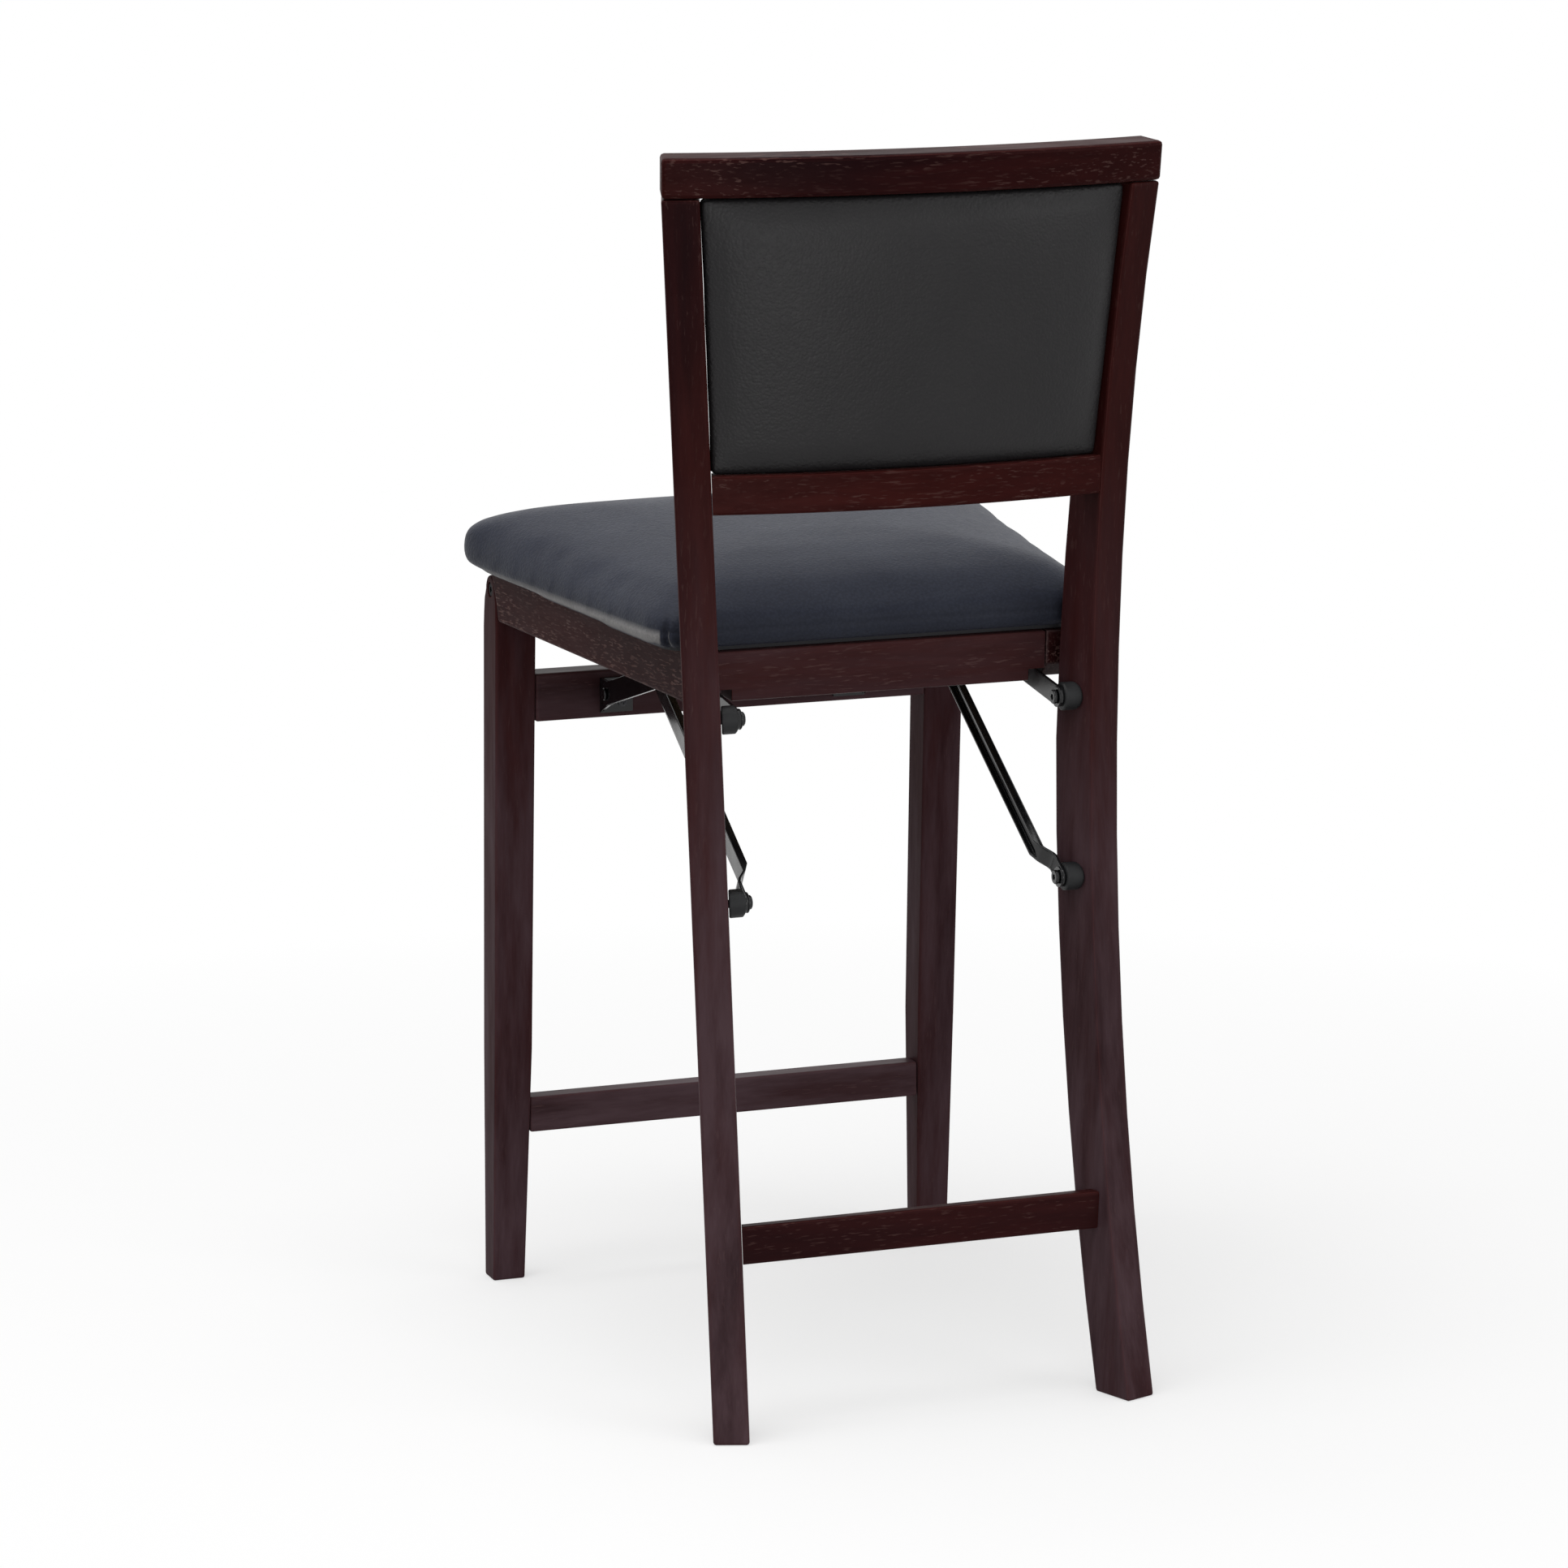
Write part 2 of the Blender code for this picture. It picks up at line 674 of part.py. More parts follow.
def corner_block(name, mirror, finish):
    end = RAIL_REAR - RAIL_REAR_THICK - GAP
    x = rail_outer(end) - RAIL_SIDE_THICK - GAP
    far = end - BLOCK_LEG
    outline = [(x, end), (x - BLOCK_ACROSS, end), (rail_outer(far) - RAIL_SIDE_THICK - GAP, far)]
    outline = [(mirror * px, py) for px, py in outline]
    made = prism(name, outline, RAIL_HIGH - BLOCK_HIGH, RAIL_HIGH, "Z", finish)
    return on_seat(ease(made, BLOCK_EDGE))


# Seat outline in plan: bowed front, flared sides, rounded corners
def seat_outline(inset):
    front = CUSHION_FRONT + inset
    rear = CUSHION_REAR - inset
    def edge(back):
        return CUSHION_SIDE - CUSHION_TAPER_RATIO * (back - RAIL_FRONT) - inset
    lean = atan2(CUSHION_TAPER_RATIO, 1.0)
    reach = CUSHION_FRONT_RADIUS
    corner_front = front + CUSHION_BOW * CUSHION_CORNER_SHARE
    points = []
    centre = (edge(corner_front + reach) - reach, corner_front + reach)
    points += arc(centre, reach, -lean, -pi / 2 + CUSHION_BOW_TURN, CUSHION_CORNER_STEPS)
    start = points[-1]
    for k in range(1, CUSHION_FRONT_STEPS):
        x = start[0] * (1 - 2 * k / CUSHION_FRONT_STEPS)
        points.append((x, start[1] - (start[1] - front) * (1 - (x / start[0]) ** 2)))
    left = [(-x, y) for x, y in reversed(points[:CUSHION_CORNER_STEPS + 1])]
    points += left
    back_radius = CUSHION_REAR_RADIUS
    turn = (-edge(rear - back_radius) + back_radius, rear - back_radius)
    rear_arc = arc(turn, back_radius, pi - lean, pi / 2, 6)
    points += rear_arc
    points += [(-x, y) for x, y in reversed(rear_arc)]
    return points


def seat_board(finish):
    made = prism("seat_board", seat_outline(BOARD_INSET), RAIL_HIGH + GAP,
                 RAIL_HIGH + GAP + BOARD_THICK, "Z", finish)
    return on_seat(made)


def seat_cushion(finish):
    base = RAIL_HIGH + GAP
    wall = CUSHION_EDGE_HEIGHT
    rings = []
    for share, inset in CUSHION_WALL:
        rings.append([(x, y, base + wall * share) for x, y in seat_outline(inset)])
    edge = seat_outline(CUSHION_WALL[-1][1])
    middle = (CUSHION_REAR + CUSHION_FRONT) / 2
    rise = CUSHION_TOP - base - wall
    for size in CUSHION_CROWN:
        height = base + wall + rise * (1 - size ** CUSHION_CROWN_POWER)
        rings.append([(x * size, middle + (y - middle) * size, height) for x, y in edge])
    made = loft("seat_cushion", rings, finish)
    pocket = prism("pocket", seat_outline(BOARD_INSET - GAP), base - 0.01, base + BOARD_THICK + GAP,
                   "Z", finish)
    cut(made, pocket)
    return smooth(on_seat(made), 50)


# Strap linkage
def hole(point, finish, radius=RIVET_RADIUS):
    return pin("hole", point, radius + HOLE_GAP, -FAR, FAR, finish, PIN_STEPS)


def flange_strip(start, end, half_high, near, far, inset, edge, finish):
    lean = Vector(end) - Vector(start)
    along = lean.normalized()
    normal = Vector((-along.y, along.x)) * edge
    a = Vector(start) + along * inset[0]
    b = Vector(end) - along * inset[1]
    outer = normal * (half_high - GAP)
    inner = normal * (half_high - STRAP)
    outline = [a + outer, b + outer, b + inner, a + inner]
    low, high = sorted((near, far))
    return prism("flange", [tuple(p) for p in outline], low, high, "X", finish)


def upper_link(name, mirror, finish):
    start = side(PIVOT_UPPER)
    end = side(PIVOT_BRACKET_REAR)
    half = STRAP_HIGH / 2
    low, high = sorted((mirror * UPPER_X, mirror * (UPPER_X + STRAP)))
    made = prism(name, slot(start, end, half), low, high, "X", finish)
    join(made, flange_strip(start, end, half, mirror * (UPPER_X + STRAP / 2),
                            mirror * (UPPER_X + UPPER_FLANGE),
                            (UPPER_FLANGE_START, UPPER_FLANGE_STOP), 1, finish))
    cut(made, hole(start, finish, BOLT_RADIUS), hole(end, finish))
    return made


# Stations of a round-ended strap: distance along it, and half its width there
def strap_stations(length, half):
    turns = []
    for k in range(LINK_END_STEPS + 1):
        turns.append(LINK_TIP_TURN + (pi / 2 - LINK_TIP_TURN) * k / LINK_END_STEPS)
    near = [(-half * cos(a), half * sin(a)) for a in turns]
    joggle = [(JOGGLE_START, half), (JOGGLE_END, half)]
    far = [(length + half * cos(a), half * sin(a)) for a in reversed(turns)]
    return near + joggle + far


def lower_link(name, mirror, finish):
    start = Vector(side(PIVOT_LOWER))
    end = Vector(side(PIVOT_BRACKET_FRONT))
    half = STRAP_HIGH / 2
    along = (end - start).normalized()
    across = Vector((-along.y, along.x))
    rings = []
    for stop, wide in strap_stations((end - start).length, half):
        x = LOWER_END_X if stop < JOGGLE_END - GAP else LOWER_X
        low = start + along * stop - across * wide
        high = start + along * stop + across * wide
        rings.append([(mirror * x, *low), (mirror * x, *high),
                      (mirror * (x + STRAP), *high), (mirror * (x + STRAP), *low)])
    made = loft(name, rings, finish)
    web = LOWER_X + STRAP / 2
    lip = mirror * (LOWER_X - STRAP_FLANGE + GAP)
    inset = (JOGGLE_END + LOWER_FLANGE_START, LOWER_FLANGE_STOP)
    for edge in (1, -1):
        join(made, flange_strip(start, end, half, lip, mirror * web, inset, edge, finish))
    cut(made, hole(side(PIVOT_LOWER), finish, BOLT_RADIUS))
    face = LOWER_X - RIVET_HEAD
    join(made, rivet_head(side(PIVOT_BRACKET_FRONT), mirror, face, web, RIVET_HEAD_RADIUS, finish))
    inner = APRON_LINK_X + STRAP + GAP
    join(made, rivet_head(side(PIVOT_MID), mirror, inner, web, LINK_SPACER_RADIUS, finish))
    return made


def apron_link(name, mirror, finish):
    start = side(PIVOT_APRON)
    end = side(PIVOT_MID)
    low, high = sorted((mirror * APRON_LINK_X, mirror * (APRON_LINK_X + STRAP)))
    made = prism(name, slot(start, end, APRON_LINK_HIGH / 2), low, high, "X", finish)
    cut(made, hole(start, finish))
    face = APRON_LINK_X + STRAP / 2
    join(made, rivet_head(end, mirror, APRON_LINK_X - RIVET_HEAD, face, RIVET_HEAD_RADIUS, finish))
    return made


def apron_bracket(name, mirror, finish):
    y, z = side(PIVOT_APRON)
    wood = BACK_Y - APRON_REAR
    base = wood + GAP
    lug = APRON_LINK_HIGH / 2
    outline = [(base, APRON_FLANGE_LOW), (y, z - lug)]
    outline += arc((y, z), lug, -pi / 2 + 0.2, pi / 2, 10)
    outline += [(base, APRON_FLANGE_HIGH)]
    low, high = sorted((mirror * APRON_EAR_X, mirror * (APRON_EAR_X + PLATE)))
    made = prism(name, outline, low, high, "X", finish)
    left, right = sorted((mirror * APRON_FLANGE_IN, mirror * (APRON_EAR_X + PLATE)))
    corner = (right, base + PLATE, APRON_FLANGE_HIGH)
    join(made, box("foot", (left, base, APRON_FLANGE_LOW), corner, finish))
    cut(made, hole((y, z), finish))
    x, screw_z = APRON_SCREW
    cut(made, prism("hole", circle((mirror * x, screw_z), SCREW_RADIUS + HOLE_GAP, PIN_STEPS),
                    -FAR, FAR, "Y", finish))
    return made


def seat_bracket(name, mirror, finish):
    rear = seat_point(PIVOT_BRACKET_REAR)
    front = seat_point(PIVOT_BRACKET_FRONT)
    lug = BRACKET_LUG
    top = RAIL_HIGH
    outline = arc(front, lug, pi, 3 * pi / 2, 8) + arc(rear, lug, 3 * pi / 2, 2 * pi, 8)
    outline += [(rear[0] + lug, top), (front[0] - lug, top)]
    low, high = sorted((mirror * BRACKET_X, mirror * (BRACKET_X + PLATE)))
    made = prism(name, outline, low, high, "X", finish)
    left, right = sorted((mirror * BRACKET_X, mirror * (BRACKET_X + BRACKET_FLANGE_WIDTH)))
    join(made, box("foot", (left, front[0] - lug, top - PLATE), (right, rear[0] + lug, top), finish))
    cut(made, hole(rear, finish))
    for _, place in bracket_screw_places(mirror):
        cut(made, prism("hole", circle(place, SCREW_RADIUS + HOLE_GAP, PIN_STEPS), -FAR, FAR, "Z", finish))
    boss = BRACKET_X + PLATE
    join(made, rivet_head(front, mirror, boss - PLATE / 2, boss + RIVET_HEAD, RIVET_HEAD_RADIUS, finish))
    return on_seat(made)


# Round bumpers between the straps and the posts, cut to the posts' angle
def bumper(name, mirror, pivot, near, finish):
    rings = []
    grow = GAP * 1.5
    for far in (False, True):
        ring = []
        for y, z in circle(side(pivot), BUMPER_RADIUS, BUMPER_STEPS):
            x = near
            if far:
                x = post_face_x((BACK_Y - y, z)) - grow
            ring.append((mirror * x, y, z))
        rings.append(ring)
    made = ease(loft(name, rings, finish), BUMPER_EDGE, 1, 50)
    low, high = sorted((0.0, mirror * FAR))
    cut(made, pin("bore", side(pivot), BOLT_RADIUS + HOLE_GAP, low, high, finish))
    return smooth(made)


# Pivot bolts with a six-sided socket
def pivot_bolt(name, mirror, pivot, strap_x, finish):
    seat = strap_x - GAP - WASHER - GAP
    shank = pin(name, side(pivot), BOLT_RADIUS,
                *sorted((mirror * (seat - BOLT_HEAD / 2), mirror * (post_face_x(pivot) + BOLT_IN_WOOD))),
                finish, PIN_STEPS)
    head = pin("head", side(pivot), BOLT_HEAD_RADIUS,
               *sorted((mirror * (seat - BOLT_HEAD), mirror * seat)), finish)
    ease(head, HEAD_EDGE, 1, 50)
    join(shank, head)
    deep = seat - BOLT_HEAD + BOLT_SOCKET_DEPTH
    cut(shank, pin("socket", side(pivot), BOLT_SOCKET_RADIUS,
                   *sorted((0.0, mirror * deep)), finish, 6))
    return smooth(shank)


def washer(name, mirror, pivot, strap_x, finish):
    far = strap_x - GAP
    ring = pin(name, side(pivot), WASHER_RADIUS, *sorted((mirror * (far - WASHER), mirror * far)), finish)
    cut(ring, hole(side(pivot), finish, BOLT_RADIUS))
    return smooth(ring)


# A rivet with its heads or spacers, each from one X to another
def rivet(name, point, mirror, low, high, heads, finish):
    made = pin(name, point, RIVET_RADIUS, *sorted((mirror * low, mirror * high)), finish,
               PIN_STEPS)
    for start, end, size in heads:
        join(made, rivet_head(point, mirror, start, end, size, finish))
    return smooth(made)


def rivet_head(point, mirror, start, end, size, finish):
    head = pin("head", point, size, *sorted((mirror * start, mirror * end)), finish)
    return ease(head, HEAD_EDGE, 1, 50)


# Rear bracket pivots: rivet through bracket and upper link, with its spacer
def seat_rivet(name, mirror, finish):
    inside = BRACKET_X - GAP
    outside = UPPER_X + STRAP + GAP
    spacer = (BRACKET_X + PLATE + GAP, UPPER_X - GAP, SPACER_RADIUS)
    heads = ((inside - RIVET_HEAD, inside, RIVET_HEAD_RADIUS - HEAD_EDGE),
             (outside, outside + RIVET_HEAD, RIVET_HEAD_RADIUS), spacer)
    return rivet(name, side(PIVOT_BRACKET_REAR), mirror, inside - RIVET_HEAD / 2,
                 outside + RIVET_HEAD / 2, heads, finish)


# Apron bracket pivots: rivet through the ear and the apron link
def apron_rivet(name, mirror, finish):
    inside = APRON_EAR_X - GAP
    outside = APRON_LINK_X + STRAP + GAP
    heads = ((inside - RIVET_HEAD, inside, RIVET_HEAD_RADIUS),
             (outside, outside + RIVET_HEAD, RIVET_HEAD_RADIUS))
    return rivet(name, side(PIVOT_APRON), mirror, inside - RIVET_HEAD / 2,
                 outside + RIVET_HEAD / 2, heads, finish)


# Screws with a crossed recess; the axis runs along Y or Z
def screw(name, centre, axis, face, outward, finish):
    def run(radius, start, end, steps):
        low, high = sorted((face + outward * start, face + outward * end))
        return prism(name, circle(centre, radius, steps), low, high, axis, finish)
    made = run(SCREW_RADIUS, -SCREW_LENGTH, SCREW_HEAD / 2, PIN_STEPS)
    head = run(SCREW_HEAD_RADIUS, 0.0, SCREW_HEAD, HEAD_STEPS)
    ease(head, SCREW_HEAD / 3, 1, 50)
    join(made, head)
    long = SCREW_HEAD_RADIUS * 0.55
    thin = SCREW_HEAD_RADIUS * 0.14
    for wide, high in ((long, thin), (thin, long)):
        x, y = centre
        outline = [(x - wide, y - high), (x + wide, y - high), (x + wide, y + high), (x - wide, y + high)]
        low, top = sorted((face + outward * SCREW_HEAD * 0.4, face + outward * SCREW_LENGTH))
        cut(made, prism("cross", outline, low, top, axis, finish))
    return made


def apron_screw(name, mirror, finish):
    x, z = APRON_SCREW
    face = BACK_Y - APRON_REAR + GAP + PLATE + GAP
    return screw(name, (mirror * x, z), "Y", face, 1, finish)


# Places of the two screws in each seat bracket
def bracket_screw_places(mirror):
    x = mirror * (BRACKET_X + BRACKET_SCREW_IN)
    front = seat_point(PIVOT_BRACKET_FRONT)[0] - BRACKET_SCREW_OUT
    rear = seat_point(PIVOT_BRACKET_REAR)[0] + BRACKET_SCREW_OUT
    return (("front", (x, front)), ("rear", (x, rear)))


def bracket_screw(name, place, finish):
    return on_seat(screw(name, place, "Z", RAIL_HIGH - PLATE - GAP, -1, finish))


# Bores for the screws, as long as the screws and a little over
def screw_bore(centre, axis, start, toward, finish):
    low, high = sorted((start + toward * PLATE, start - toward * (SCREW_LENGTH + GAP)))
    return prism("bore", circle(centre, SCREW_RADIUS + HOLE_GAP, PIN_STEPS), low, high, axis, finish)


def leg_bolt(name, mirror, finish):
    point = side(PIVOT_LEG)
    seat = LEG_OUT_TOP - LEG_BORE_DEPTH + GAP
    inner = tongue_inner() - GAP
    shank = sorted((mirror * (seat + LEG_BOLT_HEAD / 2), mirror * (inner - LEG_NUT / 2)))
    made = pin(name, point, BOLT_RADIUS, *shank, finish, PIN_STEPS)
    head = pin("head", point, LEG_BOLT_HEAD_RADIUS,
               *sorted((mirror * seat, mirror * (seat + LEG_BOLT_HEAD))), finish)
    ease(head, HEAD_EDGE, 1, 50)
    nut = pin("nut", point, LEG_NUT_RADIUS,
              *sorted((mirror * (inner - LEG_NUT), mirror * inner)), finish, 6)
    join(made, head, nut)
    cut(made, pin("socket", point, BOLT_SOCKET_RADIUS,
                  *sorted((mirror * (seat + LEG_BOLT_FLOOR), mirror * FAR)), finish, 6))
    return smooth(made)


# Each moving group hangs from an empty on its own pivot
def hinge(name, pivot, items):
    holder = bpy.data.objects.new(name, None)
    y, z = side(pivot)
    holder.location = (0.0, y, z)
    holder.empty_display_size = 0.03
    bpy.context.collection.objects.link(holder)
    for item in items:
        item.parent = holder
        item.location = (0.0, -y, -z)
    return holder


def build_back_frame(wood, vinyl, ply, rubber, steel):
    places = (("upper_", PIVOT_UPPER, UPPER_X), ("lower_", PIVOT_LOWER, LOWER_END_X))
    for name, mirror in SIDES:
        post("post_" + name, mirror, wood)
        for level, pivot, strap_x in places:
            bumper("bumper_" + level + name, mirror, pivot, strap_x + STRAP + GAP, rubber)
            pivot_bolt("pivot_bolt_" + level + name, mirror, pivot, strap_x, steel)
            washer("pivot_washer_" + level + name, mirror, pivot, strap_x, steel)
    crest_rail(wood)
    lower_rail(wood)
    rear_stretcher(wood)
    pad_board(ply)
    pad_cushion("back_pad_rear", -GAP, -1, PAD_REAR_CROWN, vinyl)
    pad_cushion("back_pad_front", PAD_BOARD + GAP, 1, PAD_FRONT_CROWN, vinyl)


def build_seat(wood, vinyl, ply, steel, zinc):
    board = seat_board(ply)
    items = [seat_cushion(vinyl), rear_rail(wood), front_rail(wood), board]
    for name, mirror in SIDES:
        items.append(side_rail("side_rail_" + name, mirror, wood))
        items.append(corner_block("corner_block_" + name, mirror, wood))
        items.append(seat_bracket("seat_bracket_" + name, mirror, steel))
        items.append(seat_rivet("seat_rivet_" + name, mirror, steel))
        for end, place in bracket_screw_places(mirror):
            items.append(bracket_screw("bracket_screw_" + end + "_" + name, place, zinc))
            cut(board, on_seat(screw_bore(place, "Z", RAIL_HIGH, -1, ply)))
    return items


def build_front_frame(wood, steel, zinc):
    apron = between_legs("front_apron", APRON_REAR, APRON_THICK, APRON_Z, APRON_Z + APRON_HEIGHT, wood)
    footrest = between_legs("front_stretcher", FOOTREST_REAR, FOOTREST_THICK, FOOTREST_Z,
                            FOOTREST_Z + FOOTREST_HEIGHT, wood)
    items = [apron, footrest]
    for name, mirror in SIDES:
        x, z = APRON_SCREW
        cut(apron, screw_bore((mirror * x, z), "Y", BACK_Y - APRON_REAR, 1, wood))
        items.append(front_leg("front_leg_" + name, mirror, wood))
        items.append(leg_bolt("leg_bolt_" + name, mirror, steel))
        items.append(apron_bracket("apron_bracket_" + name, mirror, steel))
        items.append(apron_rivet("apron_rivet_" + name, mirror, steel))
        items.append(apron_screw("apron_screw_" + name, mirror, zinc))
    return items


def build():
    clear_scene()
    wood = material("dark_wood", WOOD, 0.32)
    back_vinyl = material("back_vinyl", BACK_VINYL, 0.45)
    seat_vinyl = material("seat_vinyl", SEAT_VINYL, 0.42)
    ply = material("plywood", PLYWOOD, 0.7)
    rubber = material("rubber", RUBBER, 0.6)
    steel = material("black_steel", BLACK_STEEL, 0.2, 0.6)
    zinc = material("zinc_screw", ZINC, 0.35, 1.0)
    build_back_frame(wood, back_vinyl, ply, rubber, steel)
    uppers = [upper_link("upper_link_" + name, mirror, steel) for name, mirror in SIDES]
    lowers = [lower_link("lower_link_" + name, mirror, steel) for name, mirror in SIDES]
    aprons = [apron_link("apron_link_" + name, mirror, steel) for name, mirror in SIDES]
    hinge("upper_links", PIVOT_UPPER, uppers)
    hinge("seat", PIVOT_BRACKET_REAR, build_seat(wood, seat_vinyl, ply, steel, zinc))
    hinge("front_frame", PIVOT_LEG, build_front_frame(wood, steel, zinc))
    hinge("lower_links", PIVOT_LOWER, lowers)
    hinge("apron_links", PIVOT_APRON, aprons)


build()
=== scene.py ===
from math import exp, pi, radians

import bpy
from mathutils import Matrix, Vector


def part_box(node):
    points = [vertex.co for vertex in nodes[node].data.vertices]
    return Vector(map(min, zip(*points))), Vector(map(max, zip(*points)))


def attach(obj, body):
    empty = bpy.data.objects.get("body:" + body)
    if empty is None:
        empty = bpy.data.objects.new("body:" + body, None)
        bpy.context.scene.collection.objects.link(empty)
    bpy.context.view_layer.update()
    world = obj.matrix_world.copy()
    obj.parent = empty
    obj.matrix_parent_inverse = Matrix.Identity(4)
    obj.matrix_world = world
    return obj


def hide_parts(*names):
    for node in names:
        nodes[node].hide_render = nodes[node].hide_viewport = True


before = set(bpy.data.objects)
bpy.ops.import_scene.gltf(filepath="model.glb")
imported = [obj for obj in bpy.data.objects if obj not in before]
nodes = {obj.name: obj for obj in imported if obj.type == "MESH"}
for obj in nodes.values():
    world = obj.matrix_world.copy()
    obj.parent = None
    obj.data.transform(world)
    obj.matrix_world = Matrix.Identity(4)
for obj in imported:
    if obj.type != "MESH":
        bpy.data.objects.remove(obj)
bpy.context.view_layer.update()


# Wood
# The stool's frame is hardwood, stained a dark espresso red and sprayed with a satin
# lacquer. Pores show as short light flecks along the grain, and the eased edges are
# painted redder and lighter, partly stain sanded thin and partly a painted highlight.
def new_material(name):
    made = bpy.data.materials.new(name)
    made.use_nodes = True
    return made, made.node_tree.nodes["Principled BSDF"]


def add_node(tree, kind, **settings):
    made = tree.nodes.new("ShaderNode" + kind)
    for key, value in settings.items():
        setattr(made, key, value)
    return made


def new_group(name, inputs, outputs):
    group = bpy.data.node_groups.new(name, "ShaderNodeTree")
    for label, kind, value in inputs:
        socket = group.interface.new_socket(name=label, in_out="INPUT", socket_type="NodeSocket" + kind)
        if value is not None:
            socket.default_value = value
    for label, kind in outputs:
        group.interface.new_socket(name=label, in_out="OUTPUT", socket_type="NodeSocket" + kind)
    return group, group.nodes.new("NodeGroupInput"), group.nodes.new("NodeGroupOutput")


def math_node(tree, operation, first, second=None, third=None, clamp=False):
    made = add_node(tree, "Math", operation=operation, use_clamp=clamp)
    for slot, value in zip(made.inputs, (first, second, third)):
        if value is None:
            continue
        if isinstance(value, (int, float)):
            slot.default_value = value
        else:
            tree.links.new(value, slot)
    return made.outputs[0]


def mix_colour(tree, share, first, second):
    made = add_node(tree, "Mix", data_type="RGBA")
    for slot, value in zip((made.inputs[0], made.inputs[6], made.inputs[7]), (share, first, second)):
        if isinstance(value, (int, float)):
            slot.default_value = value
        elif isinstance(value, tuple):
            slot.default_value = (*value, 1.0)
        else:
            tree.links.new(value, slot)
    return made.outputs[2]


def noise(tree, vector, scale, detail=3.0, rough=0.5, warp=0.0):
    made = add_node(tree, "TexNoise")
    made.inputs["Scale"].default_value = scale
    made.inputs["Detail"].default_value = detail
    made.inputs["Roughness"].default_value = rough
    made.inputs["Distortion"].default_value = warp
    tree.links.new(vector, made.inputs["Vector"])
    return made.outputs["Fac"]


def window(tree, value, low, high):
    made = add_node(tree, "MapRange", clamp=True)
    made.inputs["From Min"].default_value = low
    made.inputs["From Max"].default_value = high
    tree.links.new(value, made.inputs["Value"])
    return made.outputs["Result"]


# A mask that is 1 on an edge, and the normal of the edge as if sanded round. The mask reads
# how well the rounded normal agrees with the true one: it is 0 from the first value up, and
# 1 from the second down.
edge_start = 0.998
edge_full = 0.86


def edge_group():
    group, given, out = new_group("edge_wear_and_highlight", [("Reach", "Float", 0.0015)],
                                  [("Edge", "Float"), ("Normal", "Vector")])
    bevel = add_node(group, "Bevel", samples=6)
    group.links.new(given.outputs["Reach"], bevel.inputs["Radius"])
    flat = add_node(group, "NewGeometry")
    dot = add_node(group, "VectorMath", operation="DOT_PRODUCT")
    group.links.new(bevel.outputs["Normal"], dot.inputs[0])
    group.links.new(flat.outputs["Normal"], dot.inputs[1])
    mask = window(group, dot.outputs["Value"], edge_start, edge_full)
    group.links.new(mask, out.inputs["Edge"])
    group.links.new(bevel.outputs["Normal"], out.inputs["Normal"])
    return group


def wood_group():
    group, given, out = new_group(
        "stained_wood",
        [("Along grain", "Vector", None), ("Flecks", "Float", 0.5), ("Red", "Float", 0.5)],
        [("Color", "Color"), ("Roughness", "Float"), ("Height", "Float")])
    along = given.outputs["Along grain"]
    figure = noise(group, along, 26.0, 4.0, 0.55, 0.9)
    streak = noise(group, along, 130.0, 3.0, 0.6, 0.4)
    pores = noise(group, along, 620.0, 2.0, 0.5)
    bands = noise(group, along, 60.0, 3.0, 0.5, 0.5)
    cloud = noise(group, along, 7.0, 2.0)
    dark = mix_colour(group, window(group, figure, 0.38, 0.64),
                      (0.0125, 0.0022, 0.0030), (0.0290, 0.0055, 0.0058))
    red = math_node(group, "MULTIPLY", window(group, cloud, 0.42, 0.66), given.outputs["Red"])
    warm = mix_colour(group, red, dark, (0.0820, 0.0150, 0.0110))
    fine = math_node(group, "MULTIPLY", window(group, streak, 0.40, 0.72), 0.30)
    shade = mix_colour(group, fine, warm, (0.0060, 0.0013, 0.0018))
    patch = math_node(group, "MULTIPLY_ADD", window(group, bands, 0.42, 0.62), 0.8, 0.2)
    spread = math_node(group, "SUBTRACT", pores, 0.035)
    spread = math_node(group, "MULTIPLY_ADD", given.outputs["Flecks"], 0.07, spread)
    fleck = math_node(group, "MULTIPLY", window(group, spread, 0.585, 0.66), patch)
    fleck = math_node(group, "MULTIPLY", fleck, given.outputs["Flecks"])
    light = mix_colour(group, fleck, shade, (0.130, 0.070, 0.062))
    group.links.new(light, out.inputs["Color"])
    rough = math_node(group, "MULTIPLY_ADD", window(group, streak, 0.3, 0.7), 0.12, 0.34)
    group.links.new(rough, out.inputs["Roughness"])
    height = math_node(group, "MULTIPLY_ADD", fleck, -1.2, math_node(group, "MULTIPLY", streak, 0.5))
    group.links.new(height, out.inputs["Height"])
    return group


EDGE = edge_group()
WOOD = wood_group()


# One stain for each way the grain runs: the scale squeezes the pattern along the piece.
# A pale haze low down is a painted reflection of the bright floor, gone above the seat and full below
# the knee.
reflection_gone = 0.74
reflection_full = 0.40


